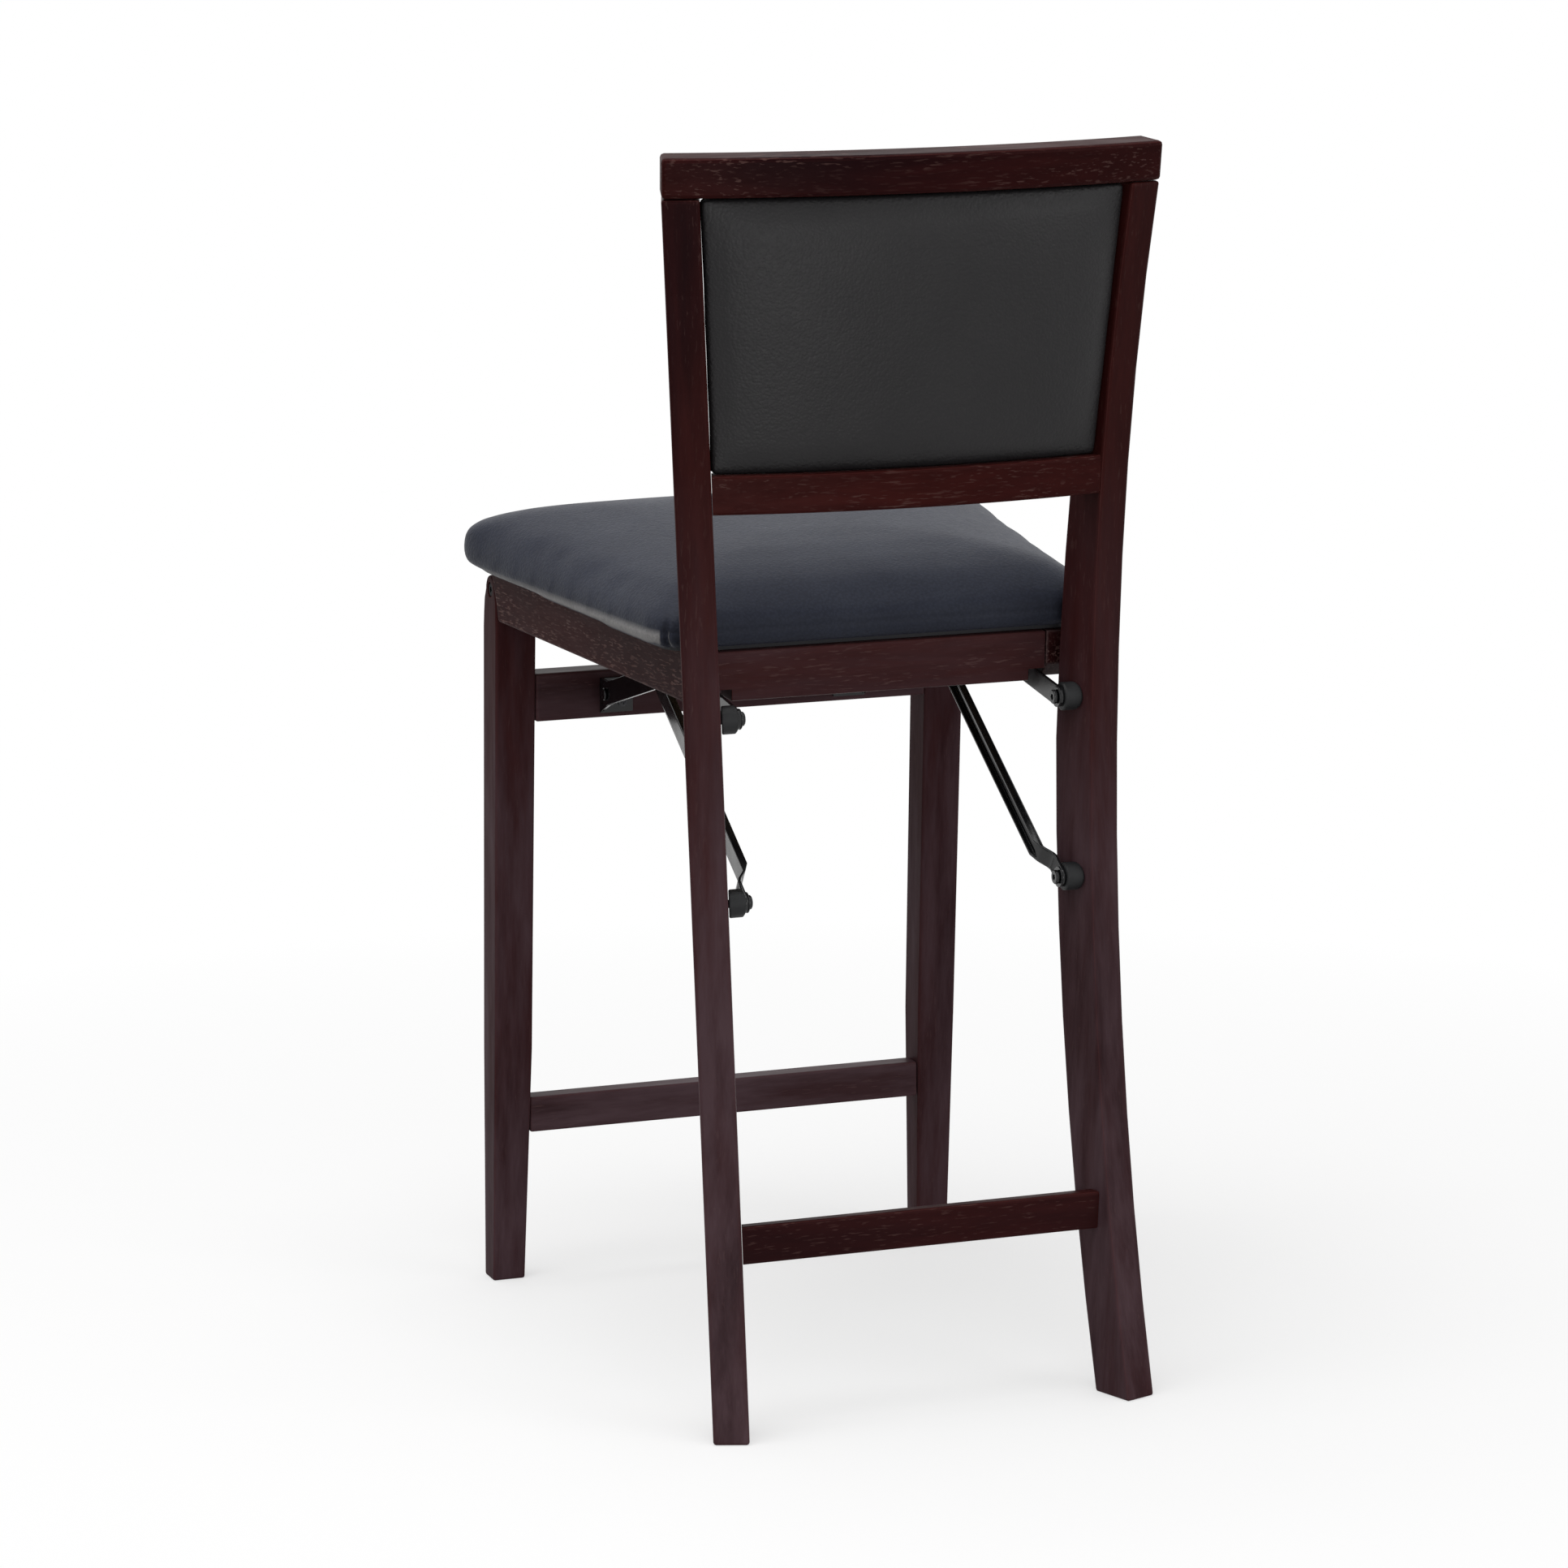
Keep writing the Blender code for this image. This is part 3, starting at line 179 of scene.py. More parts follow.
def wood_material(name, scale, flecks, red, floor_reflection, sheen, wear_and_highlight=(0.120, 0.030, 0.026)):
    made, shader = new_material(name)
    tree = made.node_tree
    place = add_node(tree, "TexCoord")
    turn = add_node(tree, "Mapping")
    turn.inputs["Scale"].default_value = scale
    tree.links.new(place.outputs["Object"], turn.inputs["Vector"])
    grain = add_node(tree, "Group", node_tree=WOOD)
    grain.inputs["Flecks"].default_value = flecks
    grain.inputs["Red"].default_value = red
    tree.links.new(turn.outputs["Vector"], grain.inputs["Along grain"])
    edge = add_node(tree, "Group", node_tree=EDGE)
    height = add_node(tree, "SeparateXYZ")
    tree.links.new(place.outputs["Object"], height.inputs[0])
    # Low down the colour is mixed toward a pale grey-red: a painted reflection of the bright floor
    reflection_share = noise(tree, place.outputs["Object"], 11.0, 3.0)
    low_down = window(tree, height.outputs["Z"], reflection_gone, reflection_full)
    low_down = math_node(tree, "MULTIPLY", low_down, floor_reflection)
    reflection_share = math_node(tree, "MULTIPLY", low_down, math_node(tree, "MULTIPLY_ADD", reflection_share, 0.8, 0.6))
    mottle = window(tree, noise(tree, turn.outputs["Vector"], 48.0, 4.0, 0.65), 0.36, 0.66)
    reflection_share = math_node(tree, "MULTIPLY", reflection_share, math_node(tree, "MULTIPLY_ADD", mottle, 0.95, 0.45))
    reflected = mix_colour(tree, reflection_share, grain.outputs["Color"], (0.085, 0.050, 0.058))
    # Edges mixed toward the edge colour: partly stain sanded thin, partly a painted highlight
    share = math_node(tree, "MULTIPLY", edge.outputs["Edge"], 0.60)
    colour = mix_colour(tree, share, reflected, wear_and_highlight)
    tree.links.new(colour, shader.inputs["Base Color"])
    tree.links.new(grain.outputs["Roughness"], shader.inputs["Roughness"])
    bump = add_node(tree, "Bump")
    bump.inputs["Strength"].default_value = 0.25
    bump.inputs["Distance"].default_value = 0.0003
    tree.links.new(grain.outputs["Height"], bump.inputs["Height"])
    tree.links.new(edge.outputs["Normal"], bump.inputs["Normal"])
    tree.links.new(bump.outputs["Normal"], shader.inputs["Normal"])
    shader.inputs["Specular IOR Level"].default_value = sheen
    return made


def finish_nodes(names, material):
    for name in names:
        slots = nodes[name].data.materials
        slots.clear()
        slots.append(material)


upright = (1.0, 1.0, 0.12)
crosswise = (0.12, 1.0, 1.0)
lengthwise = (1.0, 0.14, 1.0)
post_wood = wood_material("wood_post", upright, flecks=0.22, red=0.45, floor_reflection=0.58, sheen=0.04)
leg_wood = wood_material("wood_leg", upright, flecks=0.22, red=0.40, floor_reflection=0.66, sheen=0.01)
back_wood = wood_material("wood_back", crosswise, flecks=0.55, red=0.34, floor_reflection=0.0, sheen=0.03)
seat_wood = wood_material("wood_seat", crosswise, flecks=0.55, red=1.00, floor_reflection=0.62, sheen=0.06)
low_wood = wood_material("wood_low", crosswise, flecks=0.40, red=0.10, floor_reflection=0.03, sheen=0.04)
front_wood = wood_material("wood_front", crosswise, flecks=0.35, red=0.20, floor_reflection=0.80, sheen=0.06)
# The side rails' pale pinkish edge colour is a painted highlight along their edges
side_wood = wood_material("wood_side", lengthwise, flecks=1.10, red=0.40, floor_reflection=0.12, sheen=0.03,
                          wear_and_highlight=(0.420, 0.300, 0.295))

finish_nodes(["post_left", "post_right"], post_wood)
finish_nodes(["front_leg_left", "front_leg_right"], leg_wood)
finish_nodes(["crest_rail", "lower_back_rail"], back_wood)
finish_nodes(["seat_rear_rail"], seat_wood)
finish_nodes(["rear_stretcher"], low_wood)
finish_nodes(["seat_front_rail", "front_apron", "front_stretcher"], front_wood)
finish_nodes(["side_rail_left", "side_rail_right"], side_wood)


# Hidden boards
# The seat board is plain birch plywood, with the vinyl turned round its rim, and the
# corner blocks are raw pine. Both show only from below.
def raw_wood(name, light, dark, scale, rim):
    made, shader = new_material(name)
    tree = made.node_tree
    place = add_node(tree, "TexCoord")
    turn = add_node(tree, "Mapping")
    turn.inputs["Scale"].default_value = scale
    tree.links.new(place.outputs["Object"], turn.inputs["Vector"])
    vein = noise(tree, turn.outputs["Vector"], 30.0, 4.0, 0.6, 0.5)
    colour = mix_colour(tree, window(tree, vein, 0.35, 0.68), light, dark)
    facing = add_node(tree, "NewGeometry")
    upward = add_node(tree, "SeparateXYZ")
    tree.links.new(facing.outputs["Normal"], upward.inputs[0])
    turned = window(tree, math_node(tree, "ABSOLUTE", upward.outputs["Z"]), 0.6, 0.4)
    colour = mix_colour(tree, math_node(tree, "MULTIPLY", turned, rim), colour, (0.010, 0.010, 0.013))
    tree.links.new(colour, shader.inputs["Base Color"])
    rough = math_node(tree, "MULTIPLY_ADD", vein, 0.2, 0.6)
    tree.links.new(rough, shader.inputs["Roughness"])
    return made


plywood = raw_wood("plywood", light=(0.42, 0.28, 0.16), dark=(0.30, 0.18, 0.09),
                   scale=(0.15, 1.0, 1.0), rim=1.0)
finish_nodes(["seat_board"], plywood)
pine = raw_wood("pine_block", light=(0.50, 0.34, 0.18), dark=(0.38, 0.23, 0.11),
                scale=(0.3, 1.0, 1.0), rim=0.0)
finish_nodes(["corner_block_left", "corner_block_right"], pine)


# Black steel
# Straps, brackets and rivets are pressed steel with a gloss black enamel and a slight
# orange peel; their edges are painted brighter as a painted highlight. The leg bolts sit
# deep in their bores and stay dull.
def steel_material(name, dark, light, shine, rough_base):
    made, shader = new_material(name)
    tree = made.node_tree
    place = add_node(tree, "TexCoord")
    peel = noise(tree, place.outputs["Object"], 420.0, 2.0)
    cloud = noise(tree, place.outputs["Object"], 60.0, 3.0)
    edge = add_node(tree, "Group", node_tree=EDGE)
    edge.inputs["Reach"].default_value = 0.0006
    base = mix_colour(tree, window(tree, cloud, 0.4, 0.7), dark, light)
    # Edges mixed toward a grey: painted highlight
    share = math_node(tree, "MULTIPLY", edge.outputs["Edge"], 0.5)
    colour = mix_colour(tree, share, base, (0.060, 0.060, 0.066))
    tree.links.new(colour, shader.inputs["Base Color"])
    rough = math_node(tree, "MULTIPLY_ADD", cloud, 0.14, rough_base)
    tree.links.new(rough, shader.inputs["Roughness"])
    bump = add_node(tree, "Bump")
    bump.inputs["Strength"].default_value = 0.05
    bump.inputs["Distance"].default_value = 0.0002
    tree.links.new(peel, bump.inputs["Height"])
    tree.links.new(edge.outputs["Normal"], bump.inputs["Normal"])
    tree.links.new(bump.outputs["Normal"], shader.inputs["Normal"])
    shader.inputs["Specular IOR Level"].default_value = shine
    return made


sides = ("left", "right")
steel = steel_material("black_enamel", dark=(0.0040, 0.0042, 0.0050),
                       light=(0.0080, 0.0080, 0.0090), shine=0.36, rough_base=0.08)
dull_steel = steel_material("dull_oxide", dark=(0.0020, 0.0020, 0.0022),
                            light=(0.0050, 0.0048, 0.0050), shine=0.10, rough_base=0.55)
for side in sides:
    finish_nodes(["upper_link_" + side, "apron_link_" + side, "seat_bracket_" + side,
                  "seat_rivet_" + side, "apron_bracket_" + side, "apron_rivet_" + side], steel)
    finish_nodes(["leg_bolt_" + side], dull_steel)
    for level in ("upper_", "lower_"):
        finish_nodes(["pivot_bolt_" + level + side, "pivot_washer_" + level + side], steel)


# Lower straps
# Each long strap is strip steel pressed into a shallow channel. Its rounded foot is flat
# and joggled outward to meet the post, and two rivets are closed over small shoulders.
def only(piece):
    bpy.ops.object.select_all(action="DESELECT")
    piece.select_set(True)
    bpy.context.view_layer.objects.active = piece


def select_points(piece, wanted):
    bpy.ops.mesh.select_all(action="DESELECT")
    bpy.ops.object.mode_set(mode="OBJECT")
    for vertex in piece.data.vertices:
        vertex.select = wanted(vertex.co)
    bpy.ops.object.mode_set(mode="EDIT")
    bpy.ops.mesh.select_mode(type="VERT")


def select_faces(piece, wanted):
    bpy.ops.mesh.select_mode(type="FACE")
    bpy.ops.mesh.select_all(action="DESELECT")
    bpy.ops.object.mode_set(mode="OBJECT")
    for face in piece.data.polygons:
        face.select = wanted(face)
    bpy.ops.object.mode_set(mode="EDIT")


def select_edges(piece, wanted):
    bpy.ops.mesh.select_mode(type="EDGE")
    bpy.ops.mesh.select_all(action="DESELECT")
    bpy.ops.object.mode_set(mode="OBJECT")
    for edge in piece.data.edges:
        first, second = (piece.data.vertices[i].co for i in edge.vertices)
        edge.select = wanted(first, second)
    bpy.ops.object.mode_set(mode="EDIT")


def apply_new(piece, kind, **settings):
    only(piece)
    made = piece.modifiers.new(kind.lower(), kind)
    for key, value in settings.items():
        setattr(made, key, value)
    bpy.ops.object.modifier_apply(modifier=made.name)


# A rivet head: a short round blank with its rim rolled over, closed on both faces
rim_share = 0.28


def rivet_blank(point, near, far, radius):
    bpy.ops.object.select_all(action="DESELECT")
    bpy.ops.mesh.primitive_cylinder_add(vertices=28, radius=radius, depth=abs(far - near),
                                        location=((near + far) / 2, point[0], point[1]),
                                        rotation=(0.0, pi / 2, 0.0))
    blank = bpy.context.object
    bpy.ops.object.transform_apply(location=True, rotation=True, scale=True)
    apply_new(blank, "BEVEL", width=radius * rim_share, segments=3, limit_method="ANGLE")
    return blank


strap_foot = Vector((0.0, 0.1791, 0.4060))
strap_head = Vector((0.0, -0.0976, 0.5750))
strap_middle = Vector((0.0, -0.0453, 0.5431))
strap_run = strap_head - strap_foot
strap_high = 0.0160
strap_thick = 0.0025
strap_web = 0.1228
strap_corner = strap_high * 0.49
strap_rim = 0.0005
strap_joggle = 0.0075
joggle_steps = ((0.0170, 0.18), (0.0200, 0.32), (0.0230, 0.32), (0.0260, 0.18))
joggle_cut = 0.0005
flange_thick = 0.0024
flange_rise = 0.0036
flange_foot_slope = 0.0075
flange_head_slope = 0.0070
channel_start = 0.0275
channel_stop = strap_run.length - 0.0125
channel_floor = strap_high / 2 - flange_thick
face_slack = 0.0001
end_slack = 0.001
lip = strap_web - flange_rise + 0.0006
rivet_out = 0.0012
head_radius = 0.0052
head_in = 0.0020
shoulder_radius = 0.0046
shoulder_in = 0.0035
for side, way in (("left", 1.0), ("right", -1.0)):
    bpy.ops.object.select_all(action="DESELECT")
    bpy.ops.mesh.primitive_cube_add(size=1.0)
    strap = bpy.context.object
    strap.name = "lower_strap_" + side
    bpy.ops.object.mode_set(mode="EDIT")
    bpy.ops.mesh.select_all(action="SELECT")
    bpy.ops.transform.resize(value=(strap_thick, strap_run.length + strap_high, strap_high))
    bpy.ops.transform.translate(value=(way * (strap_web + strap_thick / 2), strap_run.length / 2, 0.0))
    select_edges(strap, lambda a, b: abs(a.x - b.x) > strap_thick / 2)
    bpy.ops.mesh.bevel(offset=strap_corner, segments=9, affect="EDGES")
    for stop in [reach - joggle_cut for reach, share in joggle_steps] + [channel_start, channel_stop]:
        bpy.ops.mesh.select_all(action="SELECT")
        bpy.ops.mesh.bisect(plane_co=(0.0, stop, 0.0), plane_no=(0.0, 1.0, 0.0))
    for level in (-1.0, 1.0):
        bpy.ops.mesh.select_all(action="SELECT")
        bpy.ops.mesh.bisect(plane_co=(0.0, 0.0, level * channel_floor), plane_no=(0.0, 0.0, 1.0))
    select_faces(strap, lambda f: f.normal.x * way < -0.9 and channel_start < f.center.y < channel_stop
                 and abs(f.center.z) > channel_floor + face_slack)
    bpy.ops.mesh.extrude_region_move(TRANSFORM_OT_translate={"value": (-way * flange_rise, 0.0, 0.0)})
    select_points(strap, lambda p: p.x * way < lip and p.y < channel_start + end_slack)
    bpy.ops.transform.translate(value=(0.0, flange_foot_slope, 0.0))
    select_points(strap, lambda p: p.x * way < lip and p.y > channel_stop - end_slack)
    bpy.ops.transform.translate(value=(0.0, -flange_head_slope, 0.0))
    for reach, share in joggle_steps:
        select_points(strap, lambda p: p.y < reach)
        bpy.ops.transform.translate(value=(way * strap_joggle * share, 0.0, 0.0))
    bpy.ops.mesh.select_all(action="SELECT")
    turn = Vector((0.0, 1.0, 0.0)).angle(strap_run)
    bpy.ops.transform.rotate(value=-turn, orient_axis="X", center_override=(0.0, 0.0, 0.0))
    bpy.ops.transform.translate(value=strap_foot)
    bpy.ops.object.mode_set(mode="OBJECT")
    apply_new(strap, "BEVEL", width=strap_rim, segments=2, limit_method="ANGLE",
              angle_limit=radians(40.0))
    rivet_far = way * (strap_web + rivet_out)
    head = rivet_blank(strap_head.yz, way * (strap_web - head_in), rivet_far, head_radius)
    shoulder = rivet_blank(strap_middle.yz, way * (strap_web - shoulder_in), rivet_far, shoulder_radius)
    only(strap)
    head.select_set(True)
    shoulder.select_set(True)
    bpy.ops.object.join()
    strap.data.materials.clear()
    strap.data.materials.append(steel)
    bpy.ops.object.shade_smooth_by_angle(angle=radians(35.0))
    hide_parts("lower_link_" + side)
    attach(strap, "lower_links")


# Bumpers
# Round black plastic spacers between the links and the posts, moulded with a dull, finely
# pitted skin. The pivot bolts pass through them into the posts.
def bumper_material():
    made, shader = new_material("moulded_black")
    tree = made.node_tree
    place = add_node(tree, "TexCoord")
    skin = noise(tree, place.outputs["Object"], 900.0, 2.0)
    dust = noise(tree, place.outputs["Object"], 90.0, 4.0)
    colour = mix_colour(tree, window(tree, dust, 0.45, 0.75),
                        (0.0062, 0.0066, 0.0074), (0.0130, 0.0138, 0.0150))
    tree.links.new(colour, shader.inputs["Base Color"])
    rough = math_node(tree, "MULTIPLY_ADD", dust, 0.25, 0.40)
    tree.links.new(rough, shader.inputs["Roughness"])
    bump = add_node(tree, "Bump")
    bump.inputs["Strength"].default_value = 0.20
    bump.inputs["Distance"].default_value = 0.0002
    edge = add_node(tree, "Group", node_tree=EDGE)
    edge.inputs["Reach"].default_value = 0.0024
    tree.links.new(edge.outputs["Normal"], bump.inputs["Normal"])
    tree.links.new(skin, bump.inputs["Height"])
    tree.links.new(bump.outputs["Normal"], shader.inputs["Normal"])
    shader.inputs["Specular IOR Level"].default_value = 0.28
    return made


moulded = bumper_material()
for side in sides:
    finish_nodes(["bumper_upper_" + side, "bumper_lower_" + side], moulded)


# Screws
# Small crosshead wood screws that hold the brackets, black oxide on the apron and bright
# zinc under the seat, where nobody looks.
def screw_material(name, dark, light, rough_base):
    made, shader = new_material(name)
    tree = made.node_tree
    place = add_node(tree, "TexCoord")
    scratch = noise(tree, place.outputs["Object"], 700.0, 3.0)
    colour = mix_colour(tree, window(tree, scratch, 0.35, 0.7), dark, light)
    tree.links.new(colour, shader.inputs["Base Color"])
    rough = math_node(tree, "MULTIPLY_ADD", scratch, 0.2, rough_base)
    tree.links.new(rough, shader.inputs["Roughness"])
    shader.inputs["Metallic"].default_value = 0.85
    return made


oxide = screw_material("black_oxide", (0.020, 0.020, 0.022), (0.060, 0.060, 0.064), rough_base=0.28)
zinc = screw_material("zinc_plate", (0.42, 0.42, 0.43), (0.58, 0.58, 0.60), rough_base=0.25)
for side in sides:
    finish_nodes(["apron_screw_" + side], oxide)
    finish_nodes(["bracket_screw_front_" + side, "bracket_screw_rear_" + side], zinc)


# Vinyl
# Soft upholstery vinyl with a fine pebble grain, dark charcoal on the back and a bluer
# grey on the seat, with paler spots of painted sheen scattered over it at random.
def vinyl_group():
    group, given, out = new_group(
        "pebbled_vinyl",
        [("Base", "Color", (0.03, 0.03, 0.032, 1.0)),
         ("Sheen spots", "Color", (0.05, 0.05, 0.055, 1.0)),
         ("Pebble", "Float", 620.0)],
        [("Color", "Color"), ("Roughness", "Float"), ("Height", "Float")])
    place = add_node(group, "TexCoord")
    cells = add_node(group, "TexVoronoi", feature="SMOOTH_F1")
    cells.inputs["Smoothness"].default_value = 0.6
    group.links.new(place.outputs["Object"], cells.inputs["Vector"])
    group.links.new(given.outputs["Pebble"], cells.inputs["Scale"])
    crease = noise(group, place.outputs["Object"], 190.0, 4.0, 0.62, 1.2)
    cloud = noise(group, place.outputs["Object"], 14.0, 3.0)
    fine = noise(group, place.outputs["Object"], 1500.0, 2.0)
    # Paler patches mixed in at random: painted sheen
    share = window(group, cloud, 0.35, 0.7)
    tone = mix_colour(group, share, given.outputs["Base"], given.outputs["Sheen spots"])
    # The hollows between the pebbles are painted darker: painted shade
    pebble_shade = math_node(group, "MULTIPLY", window(group, cells.outputs["Distance"], 0.30, 0.62), 0.22)
    colour = mix_colour(group, pebble_shade, tone, (0.012, 0.012, 0.014))
    group.links.new(colour, out.inputs["Color"])
    rough = math_node(group, "MULTIPLY_ADD", crease, 0.20, 0.34)
    group.links.new(rough, out.inputs["Roughness"])
    height = math_node(group, "MULTIPLY_ADD", cells.outputs["Distance"], -0.7, crease)
    height = math_node(group, "MULTIPLY_ADD", fine, 0.12, height)
    group.links.new(height, out.inputs["Height"])
    return group


VINYL = vinyl_group()


def vinyl_material(name, base, spots, pebble, strength, sheen):
    made, shader = new_material(name)
    tree = made.node_tree
    skin = add_node(tree, "Group", node_tree=VINYL)
    skin.inputs["Base"].default_value = (*base, 1.0)
    skin.inputs["Sheen spots"].default_value = (*spots, 1.0)
    skin.inputs["Pebble"].default_value = pebble
    tree.links.new(skin.outputs["Color"], shader.inputs["Base Color"])
    tree.links.new(skin.outputs["Roughness"], shader.inputs["Roughness"])
    bump = add_node(tree, "Bump")
    bump.inputs["Strength"].default_value = strength
    bump.inputs["Distance"].default_value = 0.0006
    tree.links.new(skin.outputs["Height"], bump.inputs["Height"])
    tree.links.new(bump.outputs["Normal"], shader.inputs["Normal"])
    shader.inputs["Specular IOR Level"].default_value = sheen
    return made


# Padded pieces
# Foam under stretched vinyl: each starts from its solid, drawn in a little, is blown up
# as cloth, and the swell is capped so that seams and edges stay where they are.
def soft_copy(node, name, draw_in):
    made = bpy.data.objects.new(name, nodes[node].data.copy())
    bpy.context.scene.collection.objects.link(made)
    only(made)
    bpy.ops.object.mode_set(mode="EDIT")
    bpy.ops.mesh.select_all(action="SELECT")
    bpy.ops.mesh.remove_doubles(threshold=0.00002)
    bpy.ops.mesh.normals_make_consistent(inside=False)
    bpy.ops.transform.shrink_fatten(value=-draw_in)
    bpy.ops.object.mode_set(mode="OBJECT")
    return made


CLOTH_FRAMES = 20


def blow_up(piece, pressure, cap, hold):
    start = [v.co.copy() for v in piece.data.vertices]
    cloth = piece.modifiers.new("cloth", "CLOTH")
    cloth.settings.use_pressure = True
    cloth.settings.uniform_pressure_force = pressure
    cloth.settings.effector_weights.gravity = 0.0
    cloth.settings.quality = 5
    cloth.settings.tension_stiffness = 18
    cloth.settings.compression_stiffness = 18
    cloth.settings.bending_stiffness = 8
    cloth.point_cache.frame_start = 1
    cloth.point_cache.frame_end = CLOTH_FRAMES
    for moment in range(1, CLOTH_FRAMES + 1):
        bpy.context.scene.frame_set(moment)
    shaped = piece.evaluated_get(bpy.context.evaluated_depsgraph_get()).to_mesh()
    moved = [v.co.copy() for v in shaped.vertices]
    piece.modifiers.remove(cloth)
    bpy.context.scene.frame_set(1)
    for vertex, before, after in zip(piece.data.vertices, start, moved):
        step = after - before
        most = cap * hold(before)
        if step.length > most:
            step = step.normalized() * most
        vertex.co = before + step


# The smoothing shrinks a piece a little; this brings it back to its solid's box
def refit(piece, node, axes):
    low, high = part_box(node)
    for axis in axes:
        values = [v.co[axis] for v in piece.data.vertices]
        least, most = min(values), max(values)
        scale = (high[axis] - low[axis]) / (most - least)
        for vertex in piece.data.vertices:
            vertex.co[axis] = low[axis] + (vertex.co[axis] - least) * scale


def finish_soft(piece, material, rounds):
    apply_new(piece, "SMOOTH", factor=0.5, iterations=rounds)
    apply_new(piece, "SUBSURF", levels=1, render_levels=1)
    piece.data.materials.clear()
    piece.data.materials.append(material)
    bpy.ops.object.shade_smooth()


# Seat cushion
# Thick crowned foam over the seat board, wrapped in grey vinyl that is pulled down over
# the edge, tucked into a pleat at each rear corner and stapled underneath.
seat_low, seat_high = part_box("seat_cushion")
seat_vinyl = vinyl_material("seat_vinyl_skin", base=(0.027, 0.030, 0.044),
                            spots=(0.034, 0.038, 0.054), pebble=440.0, strength=0.55, sheen=0.07)


# The lowest part is held by the staples, and the swell grows free above it
held_height = 0.020
freeing_height = 0.020


def seat_hold(point):
    return min(1.0, max(0.0, (point.z - seat_low.z - held_height) / freeing_height))


# Below the crease along both sides the vinyl is painted paler, broken up by puckers: a painted sheen
# standing in for its reflection of the bright floor
def add_painted_sheen_band(material, top, pleat):
    tree = material.node_tree
    shader = tree.nodes["Principled BSDF"]
    skin = shader.inputs["Base Color"].links[0].from_socket
    place = add_node(tree, "TexCoord")
    level = add_node(tree, "SeparateXYZ")
    tree.links.new(place.outputs["Object"], level.inputs[0])
    facing = add_node(tree, "NewGeometry")
    outward = add_node(tree, "SeparateXYZ")
    tree.links.new(facing.outputs["Normal"], outward.inputs[0])
    sideways = window(tree, math_node(tree, "ABSOLUTE", outward.outputs["X"]), 0.66, 0.84)
    below = window(tree, level.outputs["Z"], top + 0.0025, top - 0.0035)
    pucker = noise(tree, place.outputs["Object"], 260.0, 3.0, 0.6, 0.8)
    before_pleat = window(tree, level.outputs["Y"], pleat, pleat - 0.002)
    share = math_node(tree, "MULTIPLY", math_node(tree, "MULTIPLY", sideways, below),
                      math_node(tree, "MULTIPLY_ADD", pucker, 0.7, 0.5), clamp=True)
    share = math_node(tree, "MULTIPLY", share, before_pleat)
    # Pale band colour: painted sheen
    tree.links.new(mix_colour(tree, share, skin, (0.340, 0.330, 0.325)), shader.inputs["Base Color"])


crease_level = seat_low.z + 0.0175
crease_width = 0.0019
crease_depth = 0.0009
corner_round = 0.0260
corner_x = 0.1583
corner_y = seat_high.y - corner_round
corner_start = corner_round * 0.5
pleat_width = 0.0021
pleat_depth = 0.0030
lip_place = 0.0055
lip_width = 0.0030
lip_height = 0.0009
pleat_top = seat_low.z + 0.034
pleat_fade = 0.016
add_painted_sheen_band(seat_vinyl, crease_level, corner_y + corner_round * 0.5 ** 0.5)
seat_voxel = 0.0042
seat_pressure = 4.5
seat_swell = 0.009
seat_rounds = 34
seat = soft_copy("seat_cushion", "seat_cushion_skin", 0.0008)
seat.data.remesh_voxel_size = seat_voxel
only(seat)
bpy.ops.object.voxel_remesh()
blow_up(seat, seat_pressure, seat_swell, seat_hold)
finish_soft(seat, seat_vinyl, seat_rounds)
refit(seat, "seat_cushion", (0, 1))


# The crease along the turned under edge, and the pleat folded into each rear corner, which
# is a groove with a soft lip beside it that dies out up the wall
facings = [v.normal.copy() for v in seat.data.vertices]
places = [v.co.copy() for v in seat.data.vertices]
for point, facing in zip(places, facings):
    outward = Vector((facing.x, facing.y, 0.0))
    pinch = exp(-((point.z - crease_level) / crease_width) ** 2)
    point -= outward * crease_depth * pinch
    way = 1.0 if point.x > 0.0 else -1.0
    from_turn = Vector((point.x * way - corner_x, point.y - corner_y))
    along = (from_turn.x + from_turn.y) / 2 ** 0.5
    across = (from_turn.x - from_turn.y) / 2 ** 0.5
    if along > corner_start and facing.x * way + facing.y > 0.1:
        fade = min(1.0, max(0.0, (pleat_top - point.z) / pleat_fade))
        fold = exp(-(across / pleat_width) ** 2) * pleat_depth
        fold -= exp(-((across - lip_place) / lip_width) ** 2) * lip_height
        point -= Vector((way, 1.0, 0.0)).normalized() * fold * fade
for vertex, point in zip(seat.data.vertices, places):
    vertex.co = point
seat.data.update()
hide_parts("seat_cushion")
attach(seat, "seat")


# Back pad
# A thinner pad on each side of the bent board, in charcoal vinyl, tucked in close to the
# posts and rails all round.
back_vinyl = vinyl_material("back_vinyl_skin", base=(0.0150, 0.0140, 0.0148),
                            spots=(0.0200, 0.0188, 0.0196), pebble=460.0, strength=0.60, sheen=0.22)
pad_low, pad_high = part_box("back_pad_rear")
pad_middle = (pad_low + pad_high) / 2


# How far the vinyl stands out past the pad's solid to meet the bowed posts, most at half
# height and less by this much at the ends
post_bow = 0.0014


def stand_out(level, most):
    return most - post_bow * ((level - pad_middle.z) / (pad_high.z - pad_middle.z)) ** 2


# Each side is set against its post, height by height, and the steps between are evened out
belts = 8
belt_reach = 0.016


